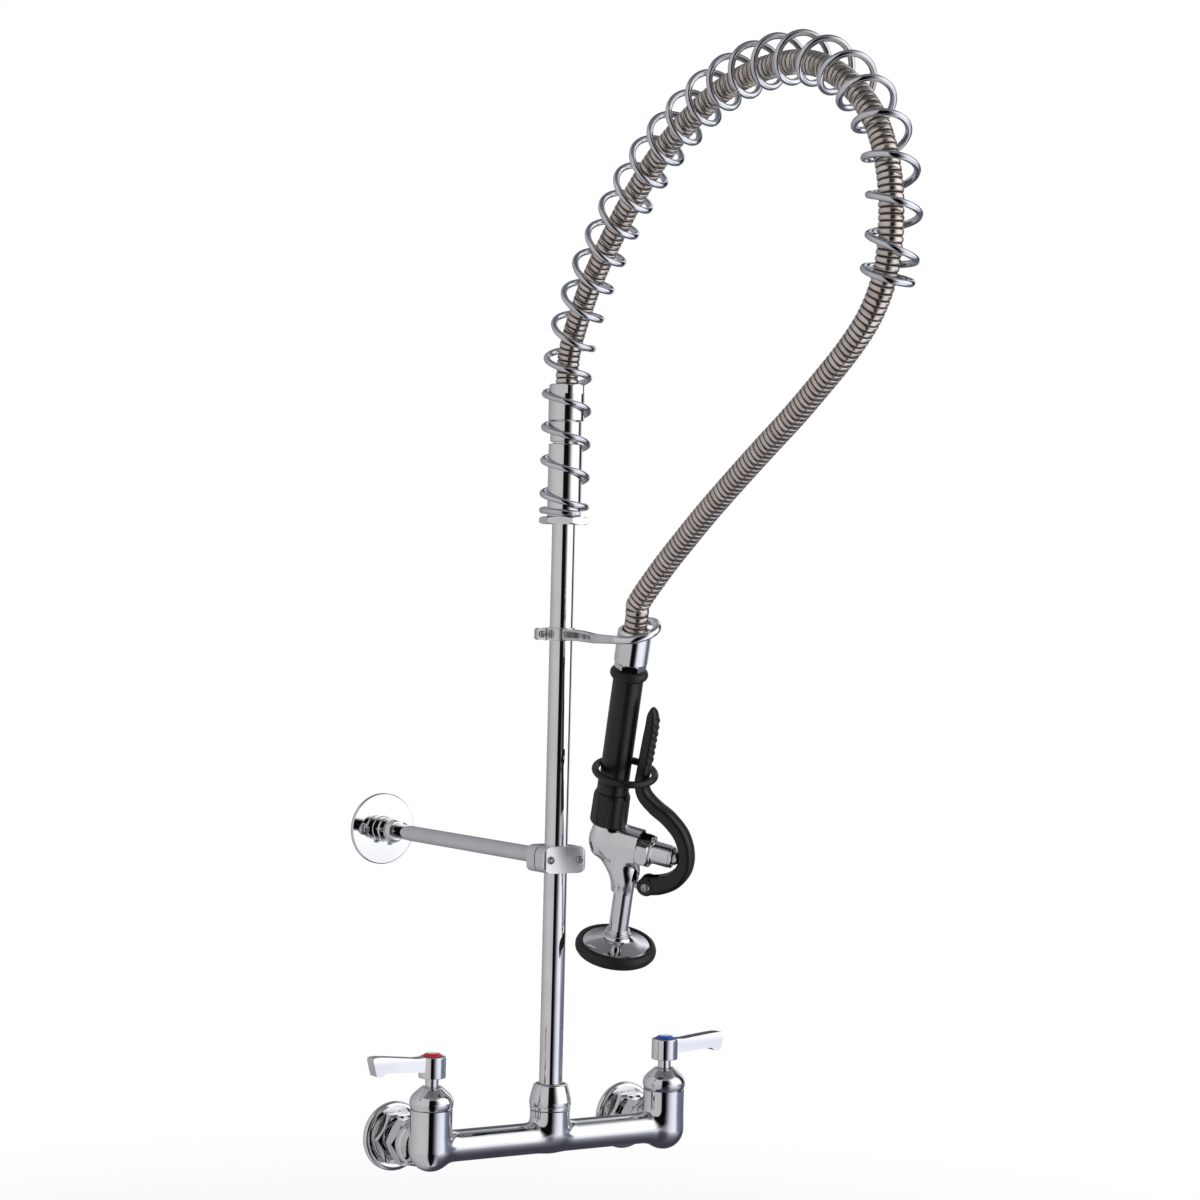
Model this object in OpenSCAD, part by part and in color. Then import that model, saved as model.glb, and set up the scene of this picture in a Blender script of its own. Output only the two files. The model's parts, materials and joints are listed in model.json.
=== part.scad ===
// Wall-mounted pre-rinse faucet: two-valve manifold, riser with wall bracket,
// overhead spring, flexible hose and a lever-operated spray valve in its hook.
// Millimetres. +Z is up, X runs from the hot valve to the cold one, +Y points
// into the wall. The origin is midway between the two inlets, in the wall plane.

/* [Manifold] */
// Distance between the axes of the hot and the cold valve
valve_centres = 203.2; // [190:0.2:230]
// Distance from the wall to the axes of the valves and the riser
wall_gap = 54.5; // [52:0.5:70]
// Outer diameter of the cross tube
cross_d = 23; // [20:0.5:26]
// Bore of the cross tube
cross_bore = 14; // [9:0.5:16]
// Outer diameter of each valve chamber
chamber_d = 30.8; // [29:0.2:34]
// Bore of each valve chamber
chamber_bore = 22; // [21:0.2:23]
// Height of the chamber's rim above the cross tube's axis
chamber_h = 27.8; // [27:0.2:34]
// Depth of the chamber's round bottom below the cross tube's axis
chamber_drop = 17; // [16:0.5:20]
// Outer diameter of the riser boss
boss_d = 29.4; // [28:0.2:33]
// Height of the riser boss above the cross tube's axis
boss_h = 20; // [18:0.5:28]
// Diameter of the threaded spigot on the riser boss
spigot_d = 23.6; // [22:0.2:25]
// Length of the threaded spigot
spigot_h = 10; // [7:0.5:14]
// Radius of the fillet between the boss and the cross tube
boss_fillet = 6; // [3:0.5:8]

/* [Valves] */
// Largest diameter of the bonnet
bonnet_d = 31.6; // [30:0.2:35]
// Height of the bonnet above the chamber's rim
bonnet_h = 17; // [15:0.5:24]
// Length of the bonnet's threaded skirt inside the chamber
skirt_h = 9; // [6:0.5:12]
// Inner diameter of the bonnet's skirt
skirt_bore = 17; // [16:0.2:18]
// Diameter of the valve stem
stem_d = 9.7; // [8:0.1:11]
// Length of the cartridge sleeve
cartridge_h = 23; // [18:0.5:24]
// Diameter of the disc at the foot of the stem
stem_disc_d = 15; // [12:0.5:17]
// Thickness of the disc at the foot of the stem
stem_disc_h = 4; // [3:0.5:5]

/* [Handles] */
// Diameter of the handle's hub
hub_d = 19.7; // [18:0.1:24]
// Height of the handle's hub
hub_h = 15.6; // [13:0.2:20]
// Gap between the bonnet and the hub, where the stem shows
stem_show = 6; // [3:0.5:10]
// Reach of the lever from the valve's axis
lever_reach = 51.5; // [40:0.5:80]
// Thickness of the lever blade across the faucet
blade_w = 10; // [8:0.5:14]
// Height of the lever blade at the hub
blade_h = 12.6; // [9:0.2:14]
// Depth of the lip under the blade's tip
lip_h = 3.4; // [1:0.2:6]
// Diameter of the index cap
cap_d = 13.6; // [11:0.2:15]
// Height of the index cap above the hub
cap_rise = 2.4; // [1:0.2:4]
// Depth of the cap's seat in the hub
cap_seat = 1.6; // [1:0.2:3]
// Diameter of the handle screw's shank
hscrew_d = 4; // [3:0.5:5]
// Diameter of the handle screw's head
hscrew_head_d = 7; // [6:0.5:8]

/* [Inlets] */
// Outer diameter of the inlet tail behind each valve
tail_d = 21; // [18:0.5:22]
// Bore of the inlet tail and flange
inlet_bore = 15; // [10:0.5:16]
// Length of the inlet tail from the valve's axis
tail_len = 30; // [28:0.5:34]
// Diameter of the shoulder at the tail's end
shoulder_d = 25; // [24:0.2:26]
// Thickness of the shoulder at the tail's end
shoulder_t = 3; // [2:0.5:4]
// Thickness of the union washer
washer_t = 2; // [1:0.5:3]
// Diameter of the union nut's round collar
collar_d = 33; // [31:0.5:36]
// Width across the union nut's flats
union_af = 33; // [31:0.5:36]
// Length of the union nut's round collar
union_collar_h = 6; // [4:0.5:8]
// Length of the union nut's hexagon
union_hex_h = 11; // [8:0.5:14]
// Width across the flats of the inlet's fixed hexagon
inlet_af = 36; // [33:0.5:40]
// Thickness of the inlet's fixed hexagon
inlet_hex_t = 9; // [6:0.5:11]
// Diameter of the inlet's wall flange
flange_d = 51; // [46:1:60]
// Thickness of the inlet's wall flange
flange_t = 4.5; // [3:0.5:6]
// Bore of the female pipe thread at the wall
supply_bore = 18.6; // [17:0.2:20]
// Depth of the female pipe thread
supply_depth = 14; // [10:0.5:16]

/* [Riser] */
// Outer diameter of the riser pipe
riser_d = 17.1; // [15:0.1:20]
// Bore of the riser pipe
riser_bore = 12.5; // [9:0.5:14]
// Length of the riser pipe
riser_len = 457.2; // [300:0.2:610]
// Depth of the riser pipe inside the spigot and boss
riser_sink = 16; // [8:1:18]
// Diameter of the riser nut at its foot
rnut_d = 31.2; // [30:0.2:36]
// Diameter of the riser nut at its crown
rnut_crown_d = 25; // [22:0.5:28]
// Height of the riser nut
rnut_h = 19.4; // [16:0.2:26]
// Width across the flats of the hexagon that carries the spring
seat_af = 32.2; // [29:0.2:36]
// Thickness of the hexagon that carries the spring
seat_h = 5.7; // [4:0.1:9]
// Length of riser pipe inside the seat and the barrel
riser_top_sink = 18.7; // [12:0.1:26]
// Diameter of the barrel above the seat
barrel_d = 25; // [22:0.2:26]
// Height of the barrel
barrel_h = 53.6; // [40:0.2:70]
// Bore at the top of the barrel and through the nipple
nipple_bore = 11; // [8:0.5:12]
// Diameter of the nipple between barrel and hose nut
nipple_d = 23; // [20:0.2:25]
// Height of the nipple's visible band
nipple_h = 14.8; // [10:0.2:20]
// Diameter of the nipple's threaded ends
nipple_thread_d = 17; // [15:0.2:19]
// Length of each of the nipple's threaded ends
nipple_thread_h = 12; // [8:0.5:16]
// Height of the joint between the barrel and the nipple
joint_gap = 1.5; // [0.5:0.1:3]
// Diameter of the hose nut
hnut_d = 26.4; // [23:0.2:27]
// Height of the hose nut
hnut_h = 27; // [22:0.5:34]
// Width across the flats milled at the hose nut's top
hnut_af = 24.6; // [22:0.2:26]
// Height of those flats
hnut_flat_h = 7; // [4:0.5:10]

/* [Hose and spring] */
// Outer diameter of the hose over its ribs
hose_d = 17; // [15:0.1:17]
// Bore of the hose
hose_bore = 10; // [8:0.5:11]
// Depth of the grooves between the ribs
rib_depth = 0.7; // [0.3:0.1:1]
// Number of ribs drawn along the hose
rib_count = 150; // [60:1:160]
// Wall of the rubber liner inside the hose
liner_wall = 2; // [1:0.1:2.4]
// Diameter of the spring's wire
wire_d = 4.7; // [3.5:0.1:5]
// Outer diameter of the spring
spring_od = 37.4; // [36:0.2:42]
// Number of turns of the spring
spring_turns = 28; // [20:1:30]
// Rise of each closed end turn
end_pitch = 5.9; // [5.6:0.1:7]
// Distance of the spring's axis above the hose's axis on the arch
spring_lift = 3; // [0:0.2:3.2]
// Share of the pitch by which the turns open towards the arch's front
pitch_growth = 0.06; // [0:0.01:0.2]

/* [Wall bracket] */
// Height of the bracket above the cross tube's axis
bracket_z = 206; // [120:1:320]
// Width of the clamp that holds the riser
clamp_w = 37.6; // [36:0.2:46]
// Height of the clamp
clamp_h = 20; // [14:0.5:26]
// Depth of each half of the clamp
clamp_half = 13; // [12:0.5:18]
// Slit between the two halves of the clamp
clamp_slit = 1; // [0.4:0.1:2]
// Distance between the clamp's two screws
clamp_screws = 25; // [24:0.5:30]
// Diameter of the clamp screws
cscrew_d = 4; // [3:0.5:4.5]
// Diameter of the bracket tube
btube_d = 12; // [10:0.5:14]
// Bore of the bracket tube
btube_bore = 9; // [6:0.5:9]
// Distance from the riser's axis to the bracket's wall face
bracket_reach = 262; // [120:1:320]
// Length of the conical ferrule behind the clamp
ferrule_len = 14; // [8:0.5:20]
// Diameter of the ferrule at the clamp
ferrule_d = 19.4; // [16:0.2:20]
// Diameter of the bracket's wall flange
bflange_d = 57; // [50:0.5:70]
// Thickness of the bracket's wall flange
bflange_t = 3; // [2:0.5:6]
// Diameter of the sleeve on the wall flange
sleeve_d = 20; // [17:0.5:24]
// Length of the sleeve on the wall flange
sleeve_len = 23; // [16:0.5:30]
// Distance between the two wall screws
wall_screws = 36; // [34:0.5:44]
// Diameter of the wall screws
wscrew_d = 4.2; // [3:0.1:4.5]
// Diameter of the wall screws' heads
whead_d = 9.4; // [8:0.2:10]
// Diameter of the set screw in the sleeve
set_d = 4; // [3:0.5:5]

/* [Hook] */
// Distance of the hook's level below the hose nut's top
hook_drop = 184; // [120:1:260]
// Distance from the riser's axis to the spray valve's axis at the hook
hook_reach = 96.5; // [80:0.5:110]
// Height of the hook's band and arm
hook_h = 9.6; // [8:0.2:14]
// Wall of the hook's band
band_t = 2.8; // [2:0.2:4]
// Length of the band's ear from the riser's axis
ear_len = 22; // [19:0.5:28]
// Thickness of the hook's arm at the riser
arm_t = 5.4; // [4:0.2:7]
// Thickness of the hook's finger
finger_d = 5.2; // [4:0.2:6]
// Rise of the finger from the arm to its end
finger_rise = 13; // [0:0.5:16]
// Running gap between the finger and the hose collar
finger_gap = 1.2; // [0.6:0.1:3]
// Diameter of the ear's screw
escrew_d = 3.2; // [2.5:0.1:4]

/* [Spray valve] */
// Lean of the spray valve from upright
spray_lean = 21.5; // [18:0.5:25]
// Compass direction towards which the spray valve's top leans
spray_heading = -107; // [-112:1:-102]
// Turn of the lever about the spray valve's own axis
spray_turn = 54; // [48:1:60]
// Diameter of the hose collar
hcollar_d = 24.4; // [24:0.2:28]
// Length of the hose collar
hcollar_h = 25; // [20:0.5:32]
// Height of the hose collar above the hook's level
hcollar_up = 7; // [4:0.5:10]
// Width across the flats of the hexagon under the collar
adapter_af = 20; // [18:0.2:22]
// Height of that hexagon
adapter_h = 5; // [4:0.5:9]
// Diameter of the grip
grip_d = 22; // [20:0.2:23]
// Length of the grip
grip_len = 97; // [80:0.5:120]
// Outer diameter of the bumper ring at the grip's top
bumper_d = 27.6; // [26:0.2:32]
// Thickness of the bumper ring
bumper_t = 8; // [6:0.5:10]
// Diameter of the tube inside the grip
core_d = 15; // [12:0.5:16]
// Bore of the tube inside the grip
core_bore = 10; // [8:0.5:11]
// Diameter of the fluted nut at its foot
fnut_d = 27.4; // [25:0.2:30]
// Height of the fluted nut
fnut_h = 25; // [18:0.5:28]
// Number of flutes round the nut
flutes = 10; // [6:1:12]
// Outer diameter of the valve body's inlet socket
socket_d = 21; // [18:0.2:22]
// Distance between the inlet's axis and the outlet's axis
outlet_shift = 19; // [16:0.5:22]
// Outer diameter of the outlet socket
outlet_d = 19.4; // [17:0.2:21]
// Diameter of the nozzle tube
nozzle_d = 14.4; // [12:0.2:16]
// Bore of the nozzle tube
nozzle_bore = 10; // [7:0.5:11]
// Length of nozzle tube between the outlet socket and the bell
nozzle_show = 32; // [26:0.5:44]
// Diameter of the bell's metal rim
bell_d = 51; // [44:0.5:58]
// Height of the bell
bell_h = 13; // [10:0.5:20]
// Outer diameter of the bell's rubber bumper
rubber_d = 60.4; // [54:0.2:64]
// Height of the bell's rubber bumper
rubber_h = 9.5; // [8:0.5:12]
// Number of spray holes in each ring of the face plate
spray_holes = 12; // [6:1:16]

/* [Plunger and lever] */
// Width across the flats of the bonnet nut on the valve body
pnut_af = 23.2; // [21.6:0.2:24.8]
// Thickness of the bonnet nut's hexagon
pnut_h = 9.5; // [7:0.5:12]
// Diameter of the sleeve that guards the plunger
pcap_d = 16.4; // [14:0.2:18]
// Length of that sleeve outside the bonnet nut
pcap_len = 17; // [14:0.5:20]
// Diameter of the plunger's stem
pstem_d = 6; // [5:0.1:7]
// Travel of the plunger
plunger_travel = 1.4; // [0.5:0.1:2]
// Share of its usual thickness that the lever has in its plane
lever_t = 1; // [0.8:0.05:1.05]
// Width of the lever's arm
lever_w = 12.6; // [11:0.2:14]
// Diameter of the lever's pivot screw
pivot_d = 5; // [4:0.5:6]
// Width of the lug that carries the pivot
lug_w = 5; // [4:0.5:6]
// Running gap between the lug and the lever's fork
lug_gap = 0.5; // [0.3:0.1:1]
// Thickness of the hold-open ring
ring_wire = 4.8; // [4:0.2:5.4]
// Inner diameter of the hold-open ring
ring_bore = 39.2; // [38.8:0.2:40]

/* [Hidden] */
$fn = 64;

// Clearances: a running fit, a static fit and the air between separate pieces
run_fit = 0.05;
snug = 0.06;
air = 0.35;

chrome = [0.80, 0.81, 0.83];
steel = [0.66, 0.64, 0.61];
black = [0.07, 0.07, 0.07];
brass = [0.78, 0.62, 0.30];

// ---- Heights along the riser
riser_foot = boss_h + spigot_h - riser_sink;
riser_top = riser_foot + riser_len;
seat_z = riser_top - riser_top_sink;
barrel_z = seat_z + seat_h;
barrel_top = barrel_z + barrel_h;
nipple_z = barrel_top + joint_gap;
hnut_z = nipple_z + nipple_h + 0.6;
top_z = hnut_z + hnut_h;
packing_t = 2.6;
spigot_top = boss_h + spigot_h;

// ---- Heights of the valves
bonnet_top = chamber_h + bonnet_h;
cartridge_top = chamber_h + 3;
cartridge_z = cartridge_top - cartridge_h;
stem_z = cartridge_z - stem_disc_h;
hub_z = bonnet_top + stem_show;
hub_top = hub_z + hub_h;
stem_top = hub_top - cap_seat - 3.4;
stem_len = stem_top - stem_z;

// ---- Inlets, measured from the valve's axis towards the wall
union_z = chamber_d / 2 + 0.9;
neck_z = tail_len + washer_t;
inlet_hex_z = wall_gap - flange_t - inlet_hex_t - 2;
neck_d = shoulder_d;

// ---- Spray valve, measured along its own axis from the hook's level
hook_z = top_z - hook_drop;
spray_x = 0;
spray_y = -wall_gap - hook_reach;
hcollar_z = hcollar_up - hcollar_h;
adapter_z = hcollar_z - adapter_h;
grip_z = adapter_z - grip_len;
fnut_z = grip_z - fnut_h;
plunger_z = fnut_z - 14;
socket_z = plunger_z - 3;
outlet_z = plunger_z - 36.5;
bell_top = outlet_z - nozzle_show;
bell_z = bell_top - bell_h;
pnut_x = 26.6;
pcap_x = pnut_x + pnut_h;
pcap_end = pcap_x + pcap_len;
pivot_x = 36.6;
pivot_z = plunger_z - 27;
fork_w = lug_w + 2 * lug_gap;
fork_wall = 3.4;

// ---- Hose route from the riser's axis at the hose nut's top: [x, y, z]
hose_route = [[0, 0, -9], [0, 0, 0], [0, 0, 9], [0, -4, 28], [0, -14, 48], [0, -27, 69],
    [0, -41, 87], [0, -56, 104], [0, -72, 121], [0, -90, 138], [0, -109, 154],
    [0, -130, 168], [0, -152, 180], [0, -176, 191], [0, -201, 199], [0, -227, 204],
    [0, -253, 206], [0, -279, 205], [0, -304, 199], [0, -327, 188], [0, -346, 174],
    [0, -361, 157], [0, -371, 138], [0, -377, 117], [0, -379, 96], [0, -378, 75],
    [0, -372, 53], [0, -359, 32], [0, -338, 12], [0, -310, -9], [0, -280, -30],
    [0, -249, -50], [0, -217, -71], [0, -186, -92], [0, -157, -113], [-1, -131, -134]];
// Straight run of the hose above the spray valve's collar
hose_tail = [28, 19, 10, 1];
hose_start = [0, -wall_gap, top_z];
// Distance along the hose, from the hose nut's top, at which the spring ends
spring_end_s = 588;

// ---------------------------------------------------------------- helpers
function arc(cx, cy, r, a0, a1, n = 8) =
    [for (i = [0:n]) let (a = a0 + (a1 - a0) * i / n) [cx + r * cos(a), cy + r * sin(a)]];

function unit(v) = v / norm(v);

// Turns a vector from the spray valve's own frame into the part's frame
function turn_z(v, a) = [v.x * cos(a) - v.y * sin(a), v.x * sin(a) + v.y * cos(a), v.z];
function turn_y(v, a) = [v.x * cos(a) + v.z * sin(a), v.y, -v.x * sin(a) + v.z * cos(a)];
function spray_dir(v) = turn_z(turn_y(turn_z(v, spray_turn), spray_lean), spray_heading);
function spray_point(v) = [spray_x, spray_y, hook_z] + spray_dir(v);

// Catmull-Rom curve through a list of points, n steps to each span
function blend(a, b, c, d, t) = 0.5 * ((2 * b) + (c - a) * t + (2 * a - 5 * b + 4 * c - d) * t * t
    + (3 * b - a - 3 * c + d) * t * t * t);
function curve(p, n) = concat([for (i = [0:len(p) - 2], k = [0:n - 1])
    blend(p[max(i - 1, 0)], p[i], p[i + 1], p[min(i + 2, len(p) - 1)], k / n)], [p[len(p) - 1]]);
function running(p, i = 0, sum = [0]) = i >= len(p) - 1 ? sum
    : running(p, i + 1, concat(sum, [sum[i] + norm(p[i + 1] - p[i])]));
function track(p) = let (s = running(p)) [for (k = [0:2]) [for (i = [0:len(p) - 1]) [s[i], p[i][k]]]];
function track_len(t) = t[0][len(t[0]) - 1][0];
function on_track(t, s) = [lookup(s, t[0]), lookup(s, t[1]), lookup(s, t[2])];
function heading(t, s, d = 1.5) = unit(on_track(t, min(s + d, track_len(t)))
    - on_track(t, max(s - d, 0)));
// Direction away from the arch's middle, square to the heading h
function outward(h) = unit([0, h.z, -h.y]);
function ease(x) = let (c = max(0, min(1, x))) c * c * (3 - 2 * c);

function ring_points(c, n1, n2, r, m) = [for (k = [0:m - 1]) let (a = 360 * k / m)
    c + r * cos(a) * n1 + r * sin(a) * n2];
function flat_list(l) = [for (a = l, b = a) b];
function skin_faces(i, j, m) = flat_list([for (k = [0:m - 1]) let (q = (k + 1) % m)
    [[i * m + k, j * m + k, j * m + q], [i * m + k, j * m + q, i * m + q]]]);
function cap_faces(i, m, flip) = [for (k = [1:m - 2])
    flip ? [i * m, i * m + k + 1, i * m + k] : [i * m, i * m + k, i * m + k + 1]];

// Solid tube through rings of m points each
module rod(rings, m) {
    n = len(rings);
    polyhedron(points = flat_list(rings), faces = concat(
        flat_list([for (i = [0:n - 2]) skin_faces(i, i + 1, m)]),
        cap_faces(0, m, false), cap_faces(n - 1, m, true)), convexity = 10);
}
// Closed band of rings, the last joined to the first, for a tube with a bore
module bored_rod(rings, m) {
    n = len(rings);
    polyhedron(points = flat_list(rings),
        faces = flat_list([for (i = [0:n - 1]) skin_faces(i, (i + 1) % n, m)]), convexity = 10);
}

module pipe(d, bore, h) {
    difference() {
        cylinder(d = d, h = h);
        translate([0, 0, -1]) cylinder(d = bore, h = h + 2);
    }
}
module hexagon(af, h) { cylinder(d = af / cos(30), h = h, $fn = 6); }
// Hexagon with its corners eased by a cone at both ends
module nut_hex(af, h) {
    c = af / cos(30);
    e = (c - af) / 2;
    intersection() {
        hexagon(af, h);
        rotate_extrude()
            polygon([[0, 0], [af / 2, 0], [c / 2, e * 0.6], [c / 2, h - e * 0.6], [af / 2, h], [0, h]]);
    }
}
// Screw along +Z with its head's underside at the origin and a crossed slot
module cross_screw(d, len, head_d, head_h) {
    difference() {
        union() {
            translate([0, 0, -len]) cylinder(d = d, h = len);
            rotate_extrude() polygon(concat([[0, 0], [head_d / 2, 0]],
                [for (p = arc(0, 0, 1, 20, 90, 6)) [p.x * head_d / 2, p.y * head_h]]));
        }
        for (a = [0, 90]) rotate(a) translate([-head_d * 0.3, -head_d * 0.06, head_h * 0.55])
            cube([head_d * 0.6, head_d * 0.12, head_h]);
    }
}

module at_valve(side) { translate([side * valve_centres / 2, -wall_gap, 0]) children(); }
// Local +Z points from the valve's axis into the wall
module at_inlet(side) { at_valve(side) rotate([-90, 0, 0]) children(); }
module at_riser(z) { translate([0, -wall_gap, z]) children(); }
module at_bracket() { translate([0, -wall_gap, bracket_z]) rotate([-90, 0, 0]) children(); }
module at_spray() {
    translate([spray_x, spray_y, hook_z]) rotate([0, 0, spray_heading])
        rotate([0, spray_lean, 0]) rotate([0, 0, spray_turn]) children();
}
// Local +Z runs along the plunger, out of the spray body
module at_plunger() { at_spray() translate([0, 0, plunger_z]) rotate([0, 90, 0]) children(); }

// ---------------------------------------------------------------- manifold
module chamber_outside(side) {
    r = chamber_d / 2;
    at_valve(side) {
        translate([0, 0, r - chamber_drop]) cylinder(r = r, h = chamber_h - r + chamber_drop);
        translate([0, 0, r - chamber_drop]) sphere(r = r);
    }
    at_inlet(side) {
        cylinder(d = tail_d, h = tail_len);
        translate([0, 0, tail_len - shoulder_t]) cylinder(d = shoulder_d, h = shoulder_t);
    }
}
module boss_outside() {
    f = boss_fillet;
    r = boss_d / 2;
    z = cross_d / 2 - 1;
    at_riser(0) {
        cylinder(d = boss_d, h = boss_h);
        cylinder(d = spigot_d, h = spigot_top);
        intersection() {
            rotate_extrude() polygon(concat([[0, 0], [r + f, 0]], arc(r + f, z + f, f, 270, 180, 6),
                [[0, z + f]]));
            translate([-r - f, -cross_d * 0.36, 0]) cube([2 * (r + f), cross_d * 0.72, 60]);
        }
    }
}
module faucet_body() {
    color(chrome) difference() {
        union() {
            at_riser(0) rotate([0, 90, 0]) cylinder(d = cross_d, h = valve_centres, center = true);
            for (s = [-1, 1]) chamber_outside(s);
            boss_outside();
        }
        at_riser(0) rotate([0, 90, 0]) cylinder(d = cross_bore, h = valve_centres, center = true);
        at_riser(0) cylinder(d = riser_bore, h = spigot_top + 1);
        at_riser(riser_foot) cylinder(d = riser_d + 2 * snug, h = riser_len);
        for (s = [-1, 1]) {
            at_valve(s) translate([0, 0, -chamber_drop + 6]) cylinder(d = chamber_bore, h = 90);
            at_inlet(s) cylinder(d = inlet_bore, h = tail_len + 1);
        }
    }
}

// ---------------------------------------------------------------- valves
module bonnet(side) {
    r = bonnet_d / 2;
    neck = stem_d / 2 + 2.2;
    z0 = chamber_h + 0.1;
    at_valve(side) color(chrome) difference() {
        union() {
            translate([0, 0, z0]) rotate_extrude() polygon(concat(
                [[0, 0], [chamber_d / 2 - 1, 0]],
                arc(r - 5, 5, 5, -35, 50, 8),
                [[neck + 1, bonnet_h - 1.2], [neck, bonnet_h - 0.1], [0, bonnet_h - 0.1]]));
            translate([0, 0, chamber_h - skirt_h]) cylinder(d = chamber_bore - 2 * snug, h = skirt_h + 1);
        }
        translate([0, 0, chamber_h - skirt_h - 1]) cylinder(d = stem_d + 2 * run_fit, h = 60);
        translate([0, 0, chamber_h - skirt_h - 1])
            cylinder(d = skirt_bore, h = cartridge_top - chamber_h + skirt_h + 1 + snug);
    }
}
module cartridge(side) {
    at_valve(side) color(brass) translate([0, 0, cartridge_z])
        pipe(skirt_bore - 2 * snug, stem_d + 2 * run_fit, cartridge_h);
}
module stem(side) {
    at_valve(side) color(brass) difference() {
        union() {
            translate([0, 0, stem_z]) cylinder(d = stem_d, h = stem_len);
            translate([0, 0, stem_z]) cylinder(d = stem_disc_d, h = stem_disc_h - air);
        }
        translate([0, 0, stem_top - 12]) cylinder(d = hscrew_d + 2 * snug, h = 20);
    }
}

// ---------------------------------------------------------------- handles
module blade_outline() {
    x0 = hub_d / 2 - 2;
    x1 = lever_reach;
    top = hub_top - 0.6;
    low = top - blade_h;
    polygon([[x0, low], [x0, top], [x0 + 8, top - 1.4], [x0 + 16, top - 1], [x1 - 12, top + 0.8],
        [x1 - 3, top + 0.2], [x1, top - 1.6], [x1 - 3.4, low - lip_h + 1],
        [x1 - 5, low - lip_h], [x1 - 9, low - lip_h], [x1 - 13, low + 0.2], [x1 - 20, low + 0.4]]);
}
module handle(side) {
    at_valve(side) mirror([side < 0 ? 1 : 0, 0, 0]) color(chrome) difference() {
        union() {
            translate([0, 0, hub_z]) rotate_extrude() polygon([[0, 0], [hub_d / 2 - 0.6, 0],
                [hub_d / 2, 0.8], [hub_d / 2, hub_h - 1.2], [hub_d / 2 - 1.2, hub_h], [0, hub_h]]);
            translate([0, blade_w / 2, 0]) rotate([90, 0, 0]) linear_extrude(blade_w) blade_outline();
        }
        translate([0, 0, hub_z - 1]) cylinder(d = stem_d + 2 * snug, h = stem_top - hub_z + 1);
        translate([0, 0, hub_z - 1]) cylinder(d = hscrew_d + 2 * snug, h = 40);
        translate([0, 0, stem_top + 1]) cylinder(d = hscrew_head_d + 0.6, h = 30);
        translate([0, 0, hub_top - cap_seat]) cylinder(d = cap_d + 2 * snug, h = 10);
    }
}
module handle_screw(side) {
    at_valve(side) color(steel) translate([0, 0, stem_top + 1])
        cross_screw(hscrew_d, 11, hscrew_head_d, 2.2);
}
module index_cap(side, tint) {
    r = cap_d / 2;
    at_valve(side) color(tint) translate([0, 0, hub_top - cap_seat]) rotate_extrude()
        polygon([[0, 0], [r, 0], [r, cap_seat], [r - 1.2, cap_seat + cap_rise * 0.8],
            [r - 3, cap_seat + cap_rise], [0, cap_seat + cap_rise]]);
}

// ---------------------------------------------------------------- inlets
module union_nut(side) {
    at_inlet(side) color(chrome) difference() {
        union() {
            translate([0, 0, union_z]) rotate_extrude() polygon([[0, 0], [collar_d / 2 - 1.5, 0],
                [collar_d / 2, 1.5], [collar_d / 2, union_collar_h - 1], [collar_d / 2 - 1, union_collar_h],
                [0, union_collar_h]]);
            translate([0, 0, union_z + union_collar_h]) nut_hex(union_af, union_hex_h);
        }
        translate([0, 0, union_z - 1]) cylinder(d = tail_d + 2 * snug, h = 40);
        translate([0, 0, tail_len - shoulder_t]) cylinder(d = shoulder_d + 2 * snug, h = 40);
    }
}
module inlet_flange(side) {
    r = flange_d / 2;
    at_inlet(side) color(chrome) difference() {
        union() {
            translate([0, 0, neck_z]) cylinder(d = neck_d, h = wall_gap - neck_z);
            translate([0, 0, inlet_hex_z]) nut_hex(inlet_af, inlet_hex_t);
            translate([0, 0, inlet_hex_z + inlet_hex_t - 0.5]) cylinder(d = inlet_af - 3, h = 3);
            translate([0, 0, wall_gap - flange_t]) rotate_extrude() polygon([[0, 0.6],
                [r - 8, 0.6], [r - 3, 0], [r - 1, 0], [r, 1.2], [r, flange_t - 0.8],
                [r - 0.8, flange_t], [0, flange_t]]);
        }
        translate([0, 0, neck_z - 1]) cylinder(d = inlet_bore, h = wall_gap);
        translate([0, 0, wall_gap - supply_depth]) cylinder(d = supply_bore, h = supply_depth + 1);
    }
}
module union_washers() {
    for (s = [-1, 1]) at_inlet(s) color(black) translate([0, 0, tail_len])
        pipe(shoulder_d - 0.4, inlet_bore + 2, washer_t);
}

// ---------------------------------------------------------------- riser
module riser_nut() {
    r = rnut_d / 2;
    c = rnut_crown_d / 2;
    at_riser(boss_h + 0.3) color(chrome) difference() {
        rotate_extrude() polygon([[0, 0], [r - 0.8, 0], [r - 0.4, 0.6], [r - 0.4, 2.6], [r - 0.9, 3],
            [r - 0.1, 3.5], [r, 5], [r - 0.3, 8], [r - 1.2, 11.5], [c + 0.9, rnut_h - 4],
            [c, rnut_h - 1.4], [c - 1, rnut_h - 0.4], [c - 2.4, rnut_h], [0, rnut_h]]);
        translate([0, 0, -1]) cylinder(d = riser_d + 2 * snug, h = rnut_h + 2);
        translate([0, 0, -1]) cylinder(d = spigot_d + 2 * snug, h = spigot_h + packing_t + 0.7);
        translate([0, 0, rnut_h - 1.6]) cylinder(d = riser_d + 2.8, h = 3);
    }
}
module riser_packing() {
    at_riser(spigot_top) color(black)
        pipe(spigot_d - 0.6, riser_d + 2 * snug, packing_t);
}
module riser_pipe() { at_riser(riser_foot) color(chrome) pipe(riser_d, riser_bore, riser_len); }
module spring_seat() {
    at_riser(seat_z) color(chrome) difference() {
        nut_hex(seat_af, seat_h);
        translate([0, 0, -1]) cylinder(d = riser_d + 2 * snug, h = seat_h + 2);
    }
}
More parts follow.
